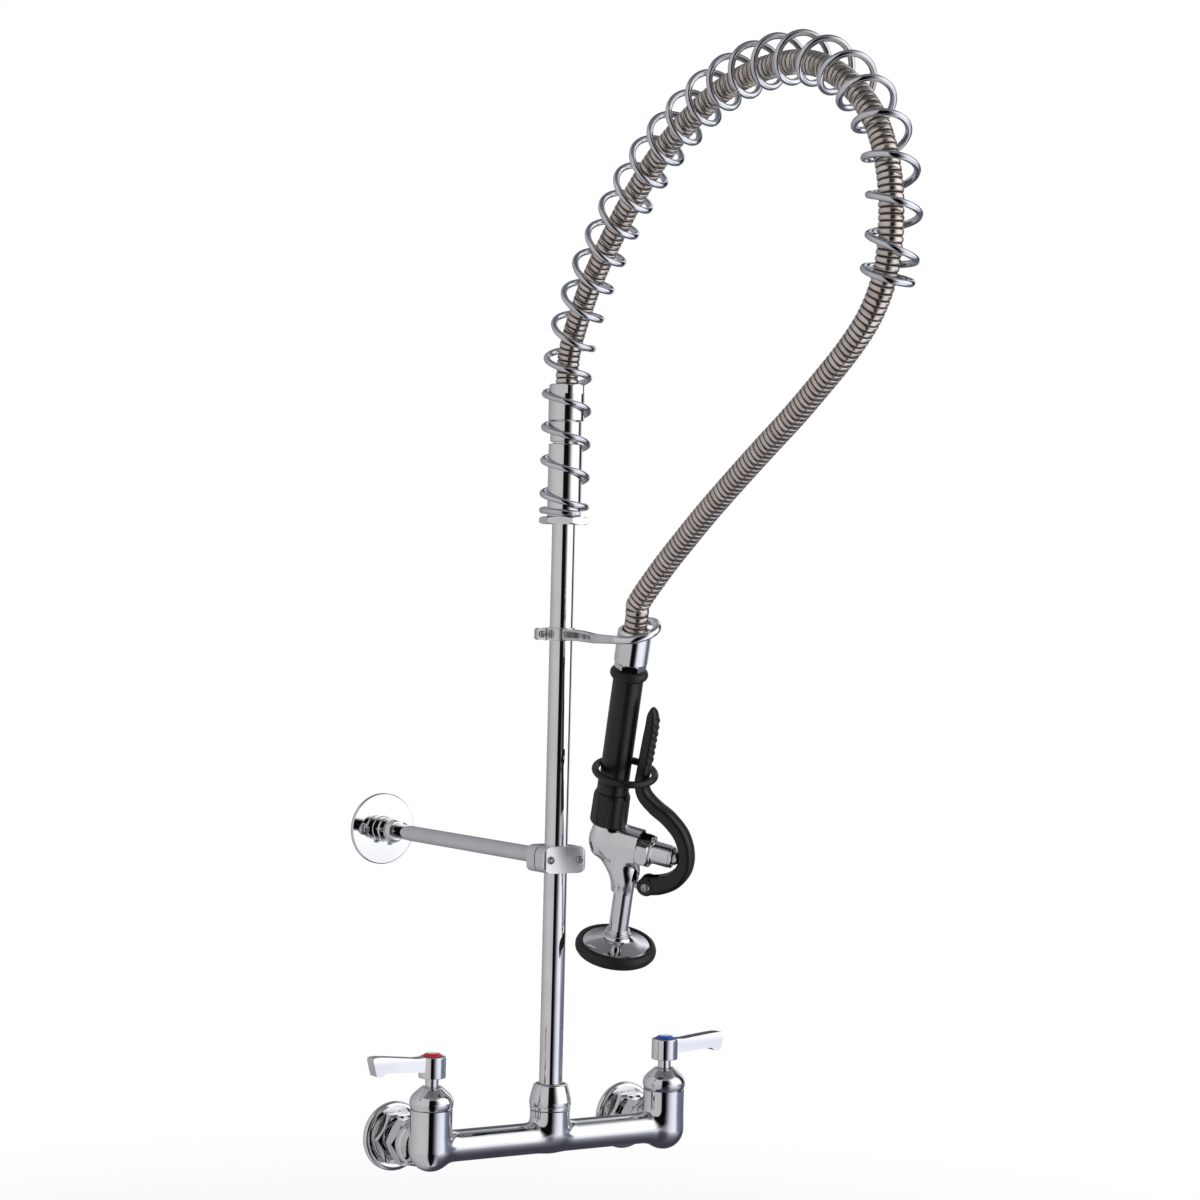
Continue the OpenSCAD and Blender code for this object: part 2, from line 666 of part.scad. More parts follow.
module spring_barrel() {
    at_riser(barrel_z) color(chrome) difference() {
        rotate_extrude() polygon([[0, 0], [barrel_d / 2, 0], [barrel_d / 2, barrel_h - 1],
            [barrel_d / 2 - 1, barrel_h], [0, barrel_h]]);
        translate([0, 0, -1]) cylinder(d = nipple_bore, h = barrel_h + 2);
        translate([0, 0, -1]) cylinder(d = riser_d + 2 * snug, h = riser_top - barrel_z + 1);
        translate([0, 0, barrel_h - nipple_thread_h]) cylinder(d = nipple_thread_d + 2 * snug, h = 40);
    }
}
module hose_nipple() {
    at_riser(nipple_z) color(chrome) difference() {
        union() {
            cylinder(d = nipple_d, h = nipple_h);
            translate([0, 0, -joint_gap]) cylinder(d = nipple_d - 4, h = joint_gap + 1);
            translate([0, 0, -nipple_thread_h]) cylinder(d = nipple_thread_d, h = nipple_thread_h + 1);
            translate([0, 0, nipple_h - 1]) cylinder(d = nipple_thread_d, h = nipple_thread_h + 1);
        }
        translate([0, 0, -nipple_thread_h - 1]) cylinder(d = nipple_bore, h = nipple_h + 40);
    }
}
nut_floor = nipple_z + nipple_h + nipple_thread_h;
barb_d = hose_bore - 2 * liner_wall - 0.7;
module hose_washer() {
    at_riser(nut_floor) color(black) pipe(nipple_thread_d - 0.4, nipple_bore, 1.5);
}
// Crimped fitting: a flange that the nut draws down and a barb inside the hose
module hose_end_top() {
    z = nut_floor + 1.5;
    at_riser(0) color(chrome) difference() {
        union() {
            translate([0, 0, z]) cylinder(d = nipple_thread_d, h = top_z - 9 - z);
            translate([0, 0, z]) cylinder(d = barb_d, h = top_z - z + 4);
        }
        translate([0, 0, z - 1]) cylinder(d = barb_d - 1.6, h = 90);
    }
}
module hose_nut() {
    at_riser(hnut_z) color(chrome) difference() {
        union() {
            cylinder(d = hnut_d, h = hnut_h - hnut_flat_h);
            translate([0, 0, hnut_h - hnut_flat_h - 0.01]) intersection() {
                hexagon(hnut_af, hnut_flat_h);
                cylinder(d = hnut_d, h = hnut_flat_h);
            }
        }
        translate([0, 0, -1]) cylinder(d = max(nipple_thread_d, hose_d) + 0.4, h = hnut_h + 2);
    }
}

// ---------------------------------------------------------------- hose and spring
hose_path = curve(concat([for (p = hose_route) hose_start + p],
    [for (d = hose_tail) spray_point([0, 0, d])]), 8);
hose_track = track(hose_path);
hose_len = track_len(hose_track);

function hose_ring(s, r, m) = let (h = heading(hose_track, s), n1 = unit(cross([0, h.z, -h.y], h)))
    ring_points(on_track(hose_track, s), n1, cross(h, n1), r, m);
// Radius of the ribbed skin; both ends are plain for one diameter
function rib_radius(i) = hose_d / 2 - (i % 2 == 1 ? rib_depth : 0);
module hose() {
    n = 2 * rib_count;
    inner = 56;
    outside = [for (i = [0:n]) hose_ring(hose_len * i / n, rib_radius(i), 8)];
    inside = [for (i = [0:inner]) hose_ring(hose_len * (1 - i / inner), hose_bore / 2, 8)];
    color(steel) bored_rod(concat(outside, inside), 8);
}
// Stations that the liner shares with the hose's bore, so the two bend alike
function liner_s(i, n) = i == 0 ? 2 : i == n ? hose_len - 2 : hose_len * i / n;
module hose_liner() {
    n = 56;
    r = hose_bore / 2 - 0.3;
    outside = [for (i = [0:n]) hose_ring(liner_s(i, n), r, 8)];
    inside = [for (i = [0:n]) hose_ring(liner_s(n - i, n), r - liner_wall + 0.3, 8)];
    color(black) bored_rod(concat(outside, inside), 8);
}

spring_r = (spring_od - wire_d) / 2;
spring_z = barrel_z + wire_d / 2 + 0.05;
spring_axis = track(concat(
    [for (z = [spring_z:6:top_z - 12]) [0, -wall_gap, z]],
    [for (s = [0:6:spring_end_s]) let (h = heading(hose_track, s))
        on_track(hose_track, s) + outward(h) * spring_lift * ease((s - 30) / 140)]));
spring_len = track_len(spring_axis);
spring_start_angle = -84;
function spring_s(t) = let (n = spring_turns - 2, free = spring_len - 2 * end_pitch, x = (t - 1) / n)
    t < 1 ? end_pitch * t : t > spring_turns - 1 ? spring_len - end_pitch * (spring_turns - t)
    : end_pitch + free * ((1 - pitch_growth) * x + pitch_growth * x * x);
function spring_radial(t) = let (h = heading(spring_axis, spring_s(t), 4), a = spring_start_angle - 360 * t)
    cos(a) * unit(cross([0, h.z, -h.y], h)) + sin(a) * outward(h);
// The wire's straight steps cut inside its circle, so it is wound that much wider
curl_steps = 8;
wound_r = spring_r * 2 / (1 + cos(180 / curl_steps));
function spring_centre(t) = on_track(spring_axis, spring_s(t)) + wound_r * spring_radial(t);
spring_steps = curl_steps * spring_turns;
module overhead_spring() {
    rings = [for (i = [0:spring_steps]) let (t = i / curl_steps, e = 0.03,
        w = unit(spring_centre(min(t + e, spring_turns)) - spring_centre(max(t - e, 0))),
        n1 = unit(spring_radial(t) - (spring_radial(t) * w) * w))
        ring_points(spring_centre(t), n1, cross(w, n1), wire_d / 2, 6)];
    color(chrome) rod(rings, 6);
}
// Least gap between one turn of the spring and the next, and from the hose to itself
spring_gap = min([for (i = [0:spring_steps - 5], j = [5:min(11, spring_steps - i)])
    norm(spring_centre(i / curl_steps) - spring_centre((i + j) / curl_steps))]) - wire_d;
hose_gap = min([for (s = [0:10:hose_len - 80], t = [s + 80:10:hose_len])
    norm(on_track(hose_track, s) - on_track(hose_track, t))]) - hose_d;
hose_spring_gap = min([for (i = [32:spring_steps], s = [0:4:spring_end_s + 20])
    norm(spring_centre(i / curl_steps) - on_track(hose_track, s))]) - wire_d / 2 - hose_d / 2;
echo(spring_gap = spring_gap, hose_gap = hose_gap, hose_spring_gap = hose_spring_gap);
echo(hose_len = hose_len, spring_len = spring_len, top_z = top_z, hook_z = hook_z);
echo(spray_up = spray_dir([0, 0, 1]), spray_lever = spray_dir([1, 0, 0]), spray_side = spray_dir([0, 1, 0]));
echo(pivot = spray_point([pivot_x, 0, pivot_z]), hook_point = spray_point([0, 0, 0]));
echo(bell_face = spray_point([outlet_shift, 0, bell_z - 3]), plunger_z = plunger_z, bell_z = bell_z);

hose_end_z = hose_tail[3];
module hose_end_spray() {
    at_spray() color(chrome) difference() {
        union() {
            translate([0, 0, hcollar_z + 4]) cylinder(d = nipple_thread_d, h = hose_end_z - hcollar_z - 4);
            translate([0, 0, hcollar_z + 1]) cylinder(d = nipple_thread_d + 3, h = 3);
            translate([0, 0, hcollar_z + 4]) cylinder(d = barb_d, h = hose_end_z - hcollar_z + 4);
        }
        translate([0, 0, hcollar_z - 1]) cylinder(d = barb_d - 1.6, h = 60);
    }
}

// ---------------------------------------------------------------- wall bracket
module clamp_block(sign) {
    y0 = sign > 0 ? clamp_slit / 2 : -clamp_half;
    translate([0, -wall_gap, bracket_z - clamp_h / 2]) linear_extrude(clamp_h) difference() {
        intersection() {
            offset(r = 6, $fn = 40) square([clamp_w - 12, 2 * clamp_half - 12], center = true);
            translate([-clamp_w, y0]) square([2 * clamp_w, clamp_half - clamp_slit / 2]);
        }
        circle(d = riser_d + 2 * snug);
    }
}
module clamp_holes(d) {
    for (s = [-1, 1]) at_bracket() translate([s * clamp_screws / 2, 0, -clamp_half - 1])
        cylinder(d = d, h = 2 * clamp_half + 2);
}
module clamp_front() {
    color(chrome) difference() {
        clamp_block(-1);
        clamp_holes(cscrew_d + 2 * snug);
    }
}
module clamp_back() {
    r = ferrule_d / 2;
    color(chrome) difference() {
        union() {
            clamp_block(1);
            at_bracket() translate([0, 0, clamp_half - 1]) rotate_extrude() polygon([[0, 0], [r, 0], [r, 3],
                [r - 0.8, 3.6], [btube_d / 2 + 1, ferrule_len + 0.4], [0, ferrule_len + 0.4]]);
        }
        clamp_holes(cscrew_d + 2 * snug);
        at_bracket() translate([0, 0, clamp_half - 1]) cylinder(d = btube_d + 2 * snug, h = 60);
    }
}
module clamp_screws_pair() {
    for (s = [-1, 1]) at_bracket() translate([s * clamp_screws / 2, 0, -clamp_half]) rotate([180, 0, 0])
        color(steel) cross_screw(cscrew_d, 2 * clamp_half - 2, 6, 2.4);
}
module bracket_tube() {
    at_bracket() translate([0, 0, clamp_half - 1]) color(chrome)
        pipe(btube_d, btube_bore, bracket_reach - clamp_half + 1 - bflange_t);
}
module bracket_flange() {
    r = bflange_d / 2;
    s = sleeve_d / 2;
    at_bracket() color(chrome) difference() {
        union() {
            translate([0, 0, bracket_reach - bflange_t]) rotate_extrude() polygon([[0, 0], [r - 1, 0],
                [r, 0.8], [r, bflange_t], [0, bflange_t]]);
            translate([0, 0, bracket_reach - bflange_t - sleeve_len]) rotate_extrude() polygon([
                [0, 0], [btube_d / 2 + 0.8, 0], [s - 0.6, 5], [s, 5.6], [s, sleeve_len], [s + 1.5, sleeve_len + 0.5],
                [0, sleeve_len + 0.5]]);
        }
        translate([0, 0, bracket_reach - bflange_t - sleeve_len - 1])
            cylinder(d = btube_d + 2 * snug, h = sleeve_len + 1);
        for (q = [-1, 1]) translate([q * wall_screws / 2, 0, bracket_reach - bflange_t - 1])
            cylinder(d = wscrew_d + 2 * snug, h = bflange_t + 2);
        translate([0, 0, bracket_reach - bflange_t - 11]) rotate([-90, 0, 0])
            cylinder(d = set_d + 2 * snug, h = sleeve_d);
    }
}
module bracket_set_screw() {
    translate([0, bracket_reach - wall_gap - bflange_t - 11, bracket_z - btube_d / 2 - 0.1])
        rotate([180, 0, 0]) color(steel) cylinder(d = set_d, h = (sleeve_d - btube_d) / 2 + 2);
}
module wall_screws_pair() {
    for (q = [-1, 1]) at_bracket() translate([q * wall_screws / 2, 0, bracket_reach - bflange_t])
        rotate([180, 0, 0]) color(steel) cross_screw(wscrew_d, bflange_t, whead_d, 3.2);
}

// ---------------------------------------------------------------- hook
band_d = riser_d + 2 * band_t;
finger_r = hcollar_d / 2 + finger_gap + finger_d / 2;
// The finger runs from the arm along the collar's left side, round its front and
// back up its right side, rising as it goes: [x, y, z] from the hook's centre
// How far the leaning collar's axis moves sideways for each millimetre of height
lean_shift = spray_dir([0, 0, 1]) / spray_dir([0, 0, 1]).z;
finger_path = concat([[-arm_t * 0.3, hook_reach - band_d / 2 + 1.5, 0], [-4, hook_reach * 0.68, -0.2],
    [-10, hook_reach * 0.46, -0.6], [-15.5, hook_reach * 0.27, -1]],
    [for (a = [165:20:405]) let (z = -1 + finger_rise * ease((a - 165) / 200))
        [finger_r * cos(a) * 1.08, finger_r * sin(a) * 1.08, 0] + lean_shift * z]);
finger_track = track(curve(finger_path, 6));
module finger() {
    n = 34;
    l = track_len(finger_track);
    rings = [for (i = [0:n]) let (s = l * i / n, w = heading(finger_track, s),
        side = unit(cross([0, 0, 1], w)), up = cross(w, side), k = ease(s / (hook_reach * 0.9)),
        a = arm_t / 2 + (finger_d / 2 - arm_t / 2) * k, b = hook_h / 2 + (finger_d / 2 - hook_h / 2) * k,
        c = on_track(finger_track, s))
        [for (j = [0:11]) let (q = 30 * j) c + a * cos(q) * side + b * sin(q) * up]];
    translate([spray_x, spray_y, hook_z]) rod(rings, 12);
}
module spray_hook() {
    ear_w = 6;
    color(chrome) difference() {
        union() {
            at_riser(hook_z - hook_h / 2) cylinder(d = band_d, h = hook_h);
            translate([-ear_len, -wall_gap - ear_w / 2, hook_z - hook_h / 2])
                cube([ear_len - riser_d / 2, ear_w, hook_h]);
            finger();
        }
        at_riser(hook_z - hook_h) cylinder(d = riser_d + 2 * snug, h = 2 * hook_h);
        translate([-ear_len - 1, -wall_gap - 0.4, hook_z - hook_h]) cube([ear_len, 0.8, 2 * hook_h]);
        translate([-ear_len + 4, -wall_gap, hook_z]) rotate([90, 0, 0])
            cylinder(d = escrew_d + 2 * snug, h = 20, center = true);
    }
}
module hook_screw() {
    translate([-ear_len + 4, -wall_gap - 3, hook_z]) rotate([90, 0, 0])
        color(steel) cross_screw(escrew_d, 7, 5.4, 1.8);
}

// ---------------------------------------------------------------- spray valve
module hose_collar() {
    r = hcollar_d / 2;
    at_spray() color(chrome) difference() {
        translate([0, 0, hcollar_z]) rotate_extrude() polygon([[0, 0], [r - 0.6, 0], [r, 1],
            [r, hcollar_h - 1.5], [r - 1.2, hcollar_h], [0, hcollar_h]]);
        translate([0, 0, hcollar_z - 1]) cylinder(d = core_bore, h = 60);
        translate([0, 0, hcollar_z + 1 - air]) cylinder(d = nipple_thread_d + 3 + 2 * run_fit, h = 3 + 2 * air);
        translate([0, 0, hcollar_z + 1]) cylinder(d = nipple_thread_d + 2 * run_fit, h = 60);
        translate([0, 0, hose_end_z - 1]) cylinder(d = hose_d + 1.6, h = 60);
    }
}
module grip_core() {
    at_spray() color(chrome) difference() {
        union() {
            translate([0, 0, adapter_z]) nut_hex(adapter_af, adapter_h);
            translate([0, 0, fnut_z + 1]) cylinder(d = core_d, h = adapter_z - fnut_z);
        }
        translate([0, 0, fnut_z]) cylinder(d = core_bore, h = adapter_z - fnut_z + 20);
    }
}
module bumper_ring() {
    at_spray() color(black) translate([0, 0, adapter_z - bumper_t / 2]) difference() {
        rotate_extrude() translate([bumper_d / 2 - bumper_t / 2, 0]) circle(d = bumper_t);
        translate([0, 0, -bumper_t]) cylinder(d = core_d + 2 * snug, h = 2 * bumper_t);
        translate([0, 0, -bumper_t]) cylinder(d = grip_d + 2 * snug, h = bumper_t);
    }
}
module grip() {
    at_spray() color(black) difference() {
        union() {
            translate([0, 0, grip_z]) cylinder(d = grip_d, h = adapter_z - bumper_t / 2 - grip_z);
            translate([0, 0, grip_z]) cylinder(d = grip_d + 1.4, h = 7);
        }
        translate([0, 0, grip_z - 1]) cylinder(d = core_d + 2 * snug, h = grip_len + 2);
    }
}
module fluted_nut() {
    r = fnut_d / 2;
    at_spray() color(black) difference() {
        translate([0, 0, fnut_z]) rotate_extrude() polygon([[0, 0], [r - 0.4, 0], [r, 0.6],
            [r - 0.7, fnut_h - 2], [r - 1.6, fnut_h - 0.2], [0, fnut_h - 0.2]]);
        translate([0, 0, fnut_z - 1]) cylinder(d = core_d + 2 * snug, h = fnut_h + 2);
        for (i = [0:flutes - 1]) rotate(360 * i / flutes) translate([r + 0.9, 0, fnut_z - 1])
            cylinder(d = 3.4, h = fnut_h + 2, $fn = 24);
    }
}
seat_x = 7.4;
seat_t = 3.6;
chamber_x = seat_x + seat_t;
pnut_thread = 6;
module spray_body() {
    rs = socket_d / 2;
    ro = outlet_d / 2;
    at_spray() color(chrome) difference() {
        union() {
            translate([0, 0, plunger_z - 1]) cylinder(d = socket_d, h = fnut_z - plunger_z + 0.9);
            hull($fn = 32) {
                translate([0, 0, socket_z]) cylinder(r = rs, h = 12);
                translate([outlet_shift, 0, socket_z - 15]) cylinder(r = ro, h = 12);
            }
            translate([outlet_shift, 0, outlet_z]) cylinder(r = ro, h = plunger_z - outlet_z);
            translate([0, 0, plunger_z]) rotate([0, 90, 0]) cylinder(d = socket_d, h = pnut_x - 0.1);
            translate([0, 0, plunger_z]) sphere(d = socket_d);
            hull($fn = 32) {
                translate([outlet_shift + 4, -lug_w / 2, pivot_z - 8]) cube([3, lug_w, 13]);
                translate([pivot_x, 0, pivot_z]) rotate([90, 0, 0])
                    cylinder(d = pivot_d + 5, h = lug_w, center = true);
            }
        }
        translate([0, 0, plunger_z]) cylinder(d = core_bore, h = 40);
        translate([-4, 0, plunger_z]) rotate([0, 90, 0]) cylinder(d = 12, h = seat_x + 4);
        translate([0, 0, plunger_z]) rotate([0, 90, 0]) cylinder(d = 8, h = 60);
        translate([chamber_x, 0, plunger_z]) rotate([0, 90, 0]) cylinder(d = 13, h = 60);
        translate([outlet_shift, 0, outlet_z - 1]) cylinder(d = nozzle_bore, h = plunger_z - outlet_z + 1);
        translate([outlet_shift, 0, outlet_z - 1]) cylinder(d = nozzle_d + 2 * snug, h = 11);
        translate([pivot_x, 0, pivot_z]) rotate([90, 0, 0])
            cylinder(d = pivot_d + 2 * run_fit, h = 40, center = true);
        // Spot face that the bonnet nut's hexagon seats on
        translate([pnut_x - 0.1, 0, plunger_z]) rotate([0, 90, 0])
            cylinder(d = pnut_af / cos(30) + 1, h = 20);
    }
}
module plunger_nut() {
    at_plunger() color(chrome) difference() {
        union() {
            translate([0, 0, pnut_x]) nut_hex(pnut_af, pnut_h);
            translate([0, 0, pnut_x - pnut_thread]) cylinder(d = 13 - 2 * snug, h = pnut_thread + 1);
            translate([0, 0, pcap_x - 0.1]) rotate_extrude() polygon([[0, 0], [pcap_d / 2, 0],
                [pcap_d / 2, pcap_len - 1.4], [pcap_d / 2 - 0.8, pcap_len - 1], [pcap_d / 2 - 0.8, pcap_len - 0.2],
                [pcap_d / 2 - 1.4, pcap_len + 0.1], [0, pcap_len + 0.1]]);
        }
        translate([0, 0, pnut_x - 12]) cylinder(d = pstem_d + 2 * run_fit, h = 60);
        translate([0, 0, pcap_x + 4]) cylinder(d = pin_d + 2 * run_fit, h = 40);
    }
}
// Stem with its valve disc inside the body and the button that the lever presses
pin_d = 10;
pin_end = pcap_end + 4;
pin_shoulder = pcap_end - 9;
module plunger() {
    r = pin_d / 2;
    at_plunger() color(chrome) {
        translate([0, 0, 3.2]) cylinder(d = pstem_d, h = pin_end - 6);
        translate([0, 0, 3.2]) cylinder(d = 10.6, h = 2);
        translate([0, 0, chamber_x + 5.8 + plunger_travel]) cylinder(d = 11, h = 1.4);
        translate([0, 0, pin_shoulder]) rotate_extrude() polygon([[0, 0], [r, 0], [r, pin_end - pin_shoulder - 2],
            [r - 1, pin_end - pin_shoulder - 0.7], [r - 2.6, pin_end - pin_shoulder], [0, pin_end - pin_shoulder]]);
    }
}
module seat_washer() {
    at_plunger() color(black) translate([0, 0, 5.2])
        pipe(10.6, pstem_d + 2 * snug, seat_x - air - 5.2);
}
// Return spring at the length it has with the lever pressed home
module plunger_spring() {
    at_plunger() color(steel) for (i = [0:3]) translate([0, 0, chamber_x + 0.6 + 1.35 * i]) rotate_extrude()
        translate([4.6, 0]) circle(d = 1.1, $fn = 16);
}
// Lever: a foot round the lug, an S past the plunger and a blade beside the grip,
// as [distance from the grip's axis, height above the plunger, thickness]
lever_route = [[pivot_x, -27, 14], [pivot_x + 10, -23.6, 14], [pcap_end + 3.1, -16.8, 13],
    [pcap_end + 9.1, -6.4, 11.6], [pcap_end + 9.1, 6.2, 11], [pcap_end + 3.2, 19.3, 11],
    [pcap_end - 8, 29.2, 11], [pcap_end - 19.3, 35.2, 10.6], [pcap_end - 28.5, 42.5, 10],
    [pcap_end - 32, 51.6, 9.4], [pcap_end - 32, 59.3, 9.2], [pcap_end - 31.6, 71.8, 9],
    [pcap_end - 31.1, 85.7, 8.8], [pcap_end - 30.6, 98.1, 8], [pcap_end - 31.2, 106.8, 5.6],
    [pcap_end - 31.8, 110.6, 1.4]];
module lever_outline(trim) {
    c = curve([for (p = lever_route) [p.x, p.y, max(0.6, p.z * lever_t - trim)]], 5);
    n = len(c) - 1;
    side = [for (i = [0:n]) let (a = c[max(i - 1, 0)], b = c[min(i + 1, n)],
        t = unit([b.x - a.x, b.y - a.y])) [t.y, -t.x]];
    translate([0, plunger_z]) polygon(concat([for (i = [0:n]) [c[i].x, c[i].y] + side[i] * c[i].z / 2],
        [for (i = [n:-1:0]) [c[i].x, c[i].y] - side[i] * c[i].z / 2]));
}
module spray_lever() {
    at_spray() color(black) difference() {
        union() {
            for (k = [[0, 5.6], [1.2, 2.4], [3.2, 0]]) rotate([90, 0, 0])
                linear_extrude(lever_w - k.y, center = true) lever_outline(k.x);
            translate([pivot_x, 0, pivot_z]) rotate([90, 0, 0])
                cylinder(d = 14, h = fork_w + 2 * fork_wall, center = true);
        }
        translate([pivot_x - 20, -fork_w / 2, pivot_z - 20]) cube([28, fork_w, 36]);
        translate([pivot_x, 0, pivot_z]) rotate([90, 0, 0])
            cylinder(d = pivot_d + 2 * snug, h = 40, center = true);
    }
}
module pivot_screw() {
    w = fork_w + 2 * fork_wall;
    at_spray() color(steel) translate([pivot_x, -w / 2, pivot_z]) rotate([90, 0, 0])
        cross_screw(pivot_d, w, pivot_d + 2, 1.6);
}
ring_z = plunger_z + 56;
ring_mid = 7.3;
module hold_open_ring() {
    at_spray() color(black) translate([ring_mid, 0, ring_z]) rotate_extrude()
        translate([(ring_bore + ring_wire) / 2, 0]) circle(d = ring_wire, $fn = 32);
}
module nozzle_tube() {
    at_spray() color(chrome) translate([outlet_shift, 0, bell_top - 6])
        pipe(nozzle_d, nozzle_bore, outlet_z + 9 - bell_top + 6);
}
module bell() {
    r = bell_d / 2;
    n = nozzle_d / 2;
    at_spray() color(chrome) translate([outlet_shift, 0, bell_z]) difference() {
        rotate_extrude() polygon([[0, 1.5], [r - 3, 1.5], [r - 3, 0], [r - 1, 0], [r, 0.6], [r - 0.4, 1.6],
            [r - 5, 3.2], [r - 10, 4.6], [n + 4, 6.6], [n + 2, 8.6], [n + 1.6, 11], [n + 1.6, bell_h], [0, bell_h]]);
        translate([0, 0, bell_h - 6]) cylinder(d = nozzle_d + 2 * snug, h = 20);
        cylinder(d = nozzle_bore, h = 40);
        rotate_extrude() polygon([[0, 0], [r - 4, 0], [r - 5, 2], [nozzle_bore / 2, 5], [0, 5]]);
    }
}
module face_plate() {
    r = bell_d / 2 - 3.1;
    at_spray() color(steel) translate([outlet_shift, 0, bell_z - 1.2]) difference() {
        cylinder(r = r, h = 1.2 - 0.05);
        for (k = [0:2], i = [0:spray_holes - 1]) rotate(360 * (i + k / 2) / spray_holes)
            translate([6 + 5.5 * k, 0, -1]) cylinder(d = 1.8, h = 4, $fn = 16);
    }
}
module bell_bumper() {
    r = rubber_d / 2;
    b = bell_d / 2;
    at_spray() color(black) translate([outlet_shift, 0, bell_z - rubber_h + 2.6]) difference() {
        rotate_extrude() polygon([[b - 6, 0], [r - 2.6, 0], [r - 0.8, 1], [r, rubber_h / 2], [r - 0.8, rubber_h - 1.4],
            [r - 2.6, rubber_h], [b - 1, rubber_h], [b - 6, rubber_h - 2]]);
        translate([0, 0, rubber_h - 2.7]) cylinder(d = bell_d + 2 * snug, h = 10);
        translate([0, 0, rubber_h - 2.6 - 1.3]) cylinder(d = bell_d - 6, h = 10);
    }
}

faucet_body();
bonnet(-1);  // hot_bonnet
bonnet(1);  // cold_bonnet
cartridge(-1);  // hot_cartridge
cartridge(1);  // cold_cartridge
stem(-1);  // hot_stem
stem(1);  // cold_stem
handle(-1);  // hot_handle
handle(1);  // cold_handle
handle_screw(-1);  // hot_handle_screw
handle_screw(1);  // cold_handle_screw
index_cap(-1, "firebrick");  // hot_index_cap
index_cap(1, "royalblue");  // cold_index_cap
union_nut(-1);  // hot_union_nut
union_nut(1);  // cold_union_nut
inlet_flange(-1);  // hot_inlet_flange
inlet_flange(1);  // cold_inlet_flange
union_washers();
riser_nut();
riser_packing();
riser_pipe();
spring_seat();
spring_barrel();
hose_nipple();
hose_nut();
hose_washer();
hose_end_top();
overhead_spring();
hose();
hose_liner();
hose_end_spray();
clamp_front();
clamp_back();
clamp_screws_pair();
bracket_tube();
bracket_flange();
bracket_set_screw();
wall_screws_pair();
spray_hook();
hook_screw();
hose_collar();
grip_core();
bumper_ring();
grip();
fluted_nut();
spray_body();
seat_washer();
plunger_nut();
plunger();
plunger_spring();
spray_lever();
pivot_screw();
hold_open_ring();
nozzle_tube();
bell();
face_plate();
bell_bumper();
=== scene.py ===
"""Looks of a wall-mounted pre-rinse faucet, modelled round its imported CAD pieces.

Sizes inside the classes are millimetres in each sub-assembly's own frame; a finished
piece is put in its place in the part's frame and scaled to metres in its mesh.
"""
import cmath
import json
import logging
from collections.abc import Callable, Iterable, Iterator, Sequence
from contextlib import contextmanager
from dataclasses import dataclass, field
from enum import Enum
from math import atan2, cos, hypot, pi, radians, sin, sqrt, tan

import bmesh
import bpy
import numpy as np
from mathutils import Matrix, Vector


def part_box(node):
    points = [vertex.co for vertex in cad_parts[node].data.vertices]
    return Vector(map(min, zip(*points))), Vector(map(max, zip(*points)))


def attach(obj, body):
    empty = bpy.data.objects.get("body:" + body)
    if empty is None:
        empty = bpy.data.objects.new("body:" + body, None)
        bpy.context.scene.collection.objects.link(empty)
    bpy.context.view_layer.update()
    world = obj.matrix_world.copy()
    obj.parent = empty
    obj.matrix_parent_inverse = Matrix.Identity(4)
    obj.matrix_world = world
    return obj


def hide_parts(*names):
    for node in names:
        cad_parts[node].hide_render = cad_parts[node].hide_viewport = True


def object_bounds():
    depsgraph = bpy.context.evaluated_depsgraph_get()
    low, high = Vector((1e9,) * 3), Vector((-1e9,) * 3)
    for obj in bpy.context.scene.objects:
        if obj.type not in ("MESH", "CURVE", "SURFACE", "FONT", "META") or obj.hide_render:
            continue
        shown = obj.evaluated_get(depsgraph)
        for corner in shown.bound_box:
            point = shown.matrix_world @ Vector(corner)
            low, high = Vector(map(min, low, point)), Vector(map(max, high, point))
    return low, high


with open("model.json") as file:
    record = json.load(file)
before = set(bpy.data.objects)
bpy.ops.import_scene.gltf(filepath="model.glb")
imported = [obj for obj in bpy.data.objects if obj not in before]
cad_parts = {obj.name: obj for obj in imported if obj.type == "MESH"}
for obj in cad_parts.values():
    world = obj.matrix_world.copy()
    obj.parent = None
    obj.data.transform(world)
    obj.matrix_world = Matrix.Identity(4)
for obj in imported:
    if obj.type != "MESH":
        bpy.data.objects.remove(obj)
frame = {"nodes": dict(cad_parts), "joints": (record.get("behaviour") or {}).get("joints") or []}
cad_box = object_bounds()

log = logging.getLogger("faucet")

MM = 0.001
TURN = 2 * pi
# Angle at which two faces meet in a visible edge
CREASE = radians(32)
# Radius of the riser pipe, which its fittings share
PIPE = 8.61
# Turns that point local +Z at the wall, along +Y, and away from it
BACKWARDS = Matrix.Rotation(-pi / 2, 4, "X")
FORWARDS = Matrix.Rotation(pi / 2, 4, "X")

Corner = tuple[float, ...]
Outline = Sequence[Corner]
Piece = bpy.types.Object
Tree = bpy.types.NodeTree
Socket = bpy.types.NodeSocket


class Side(Enum):
    """Which supply a valve is on; the value is its direction along X."""

    HOT = -1
    COLD = 1

    @property
    def word(self) -> str:
        """Start of the names of this side's pieces."""
        return self.name.lower()


class Union(Enum):
    """How two solids are combined."""

    ADD = "UNION"
    CUT = "DIFFERENCE"
    COMMON = "INTERSECT"


# ---- places
def centre_of(node: str) -> Vector:
    """Gives the middle of a CAD node's box, in mm."""
    low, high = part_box(node)
    return (low + high) / 2 / MM


def joint_named(name: str) -> dict:
    """Gives one joint of the frame by its name."""
    return next(joint for joint in frame["joints"] if joint["name"] == name)


def moved(x: float, y: float, z: float) -> Matrix:
    """Gives a place that is only shifted."""
    return Matrix.Translation((x, y, z))


def riser_place() -> Matrix:
    """Gives the riser's frame: its axis, at the level of the cross tube."""
    middle = centre_of("riser_pipe")
    return moved(middle.x, middle.y, 0)


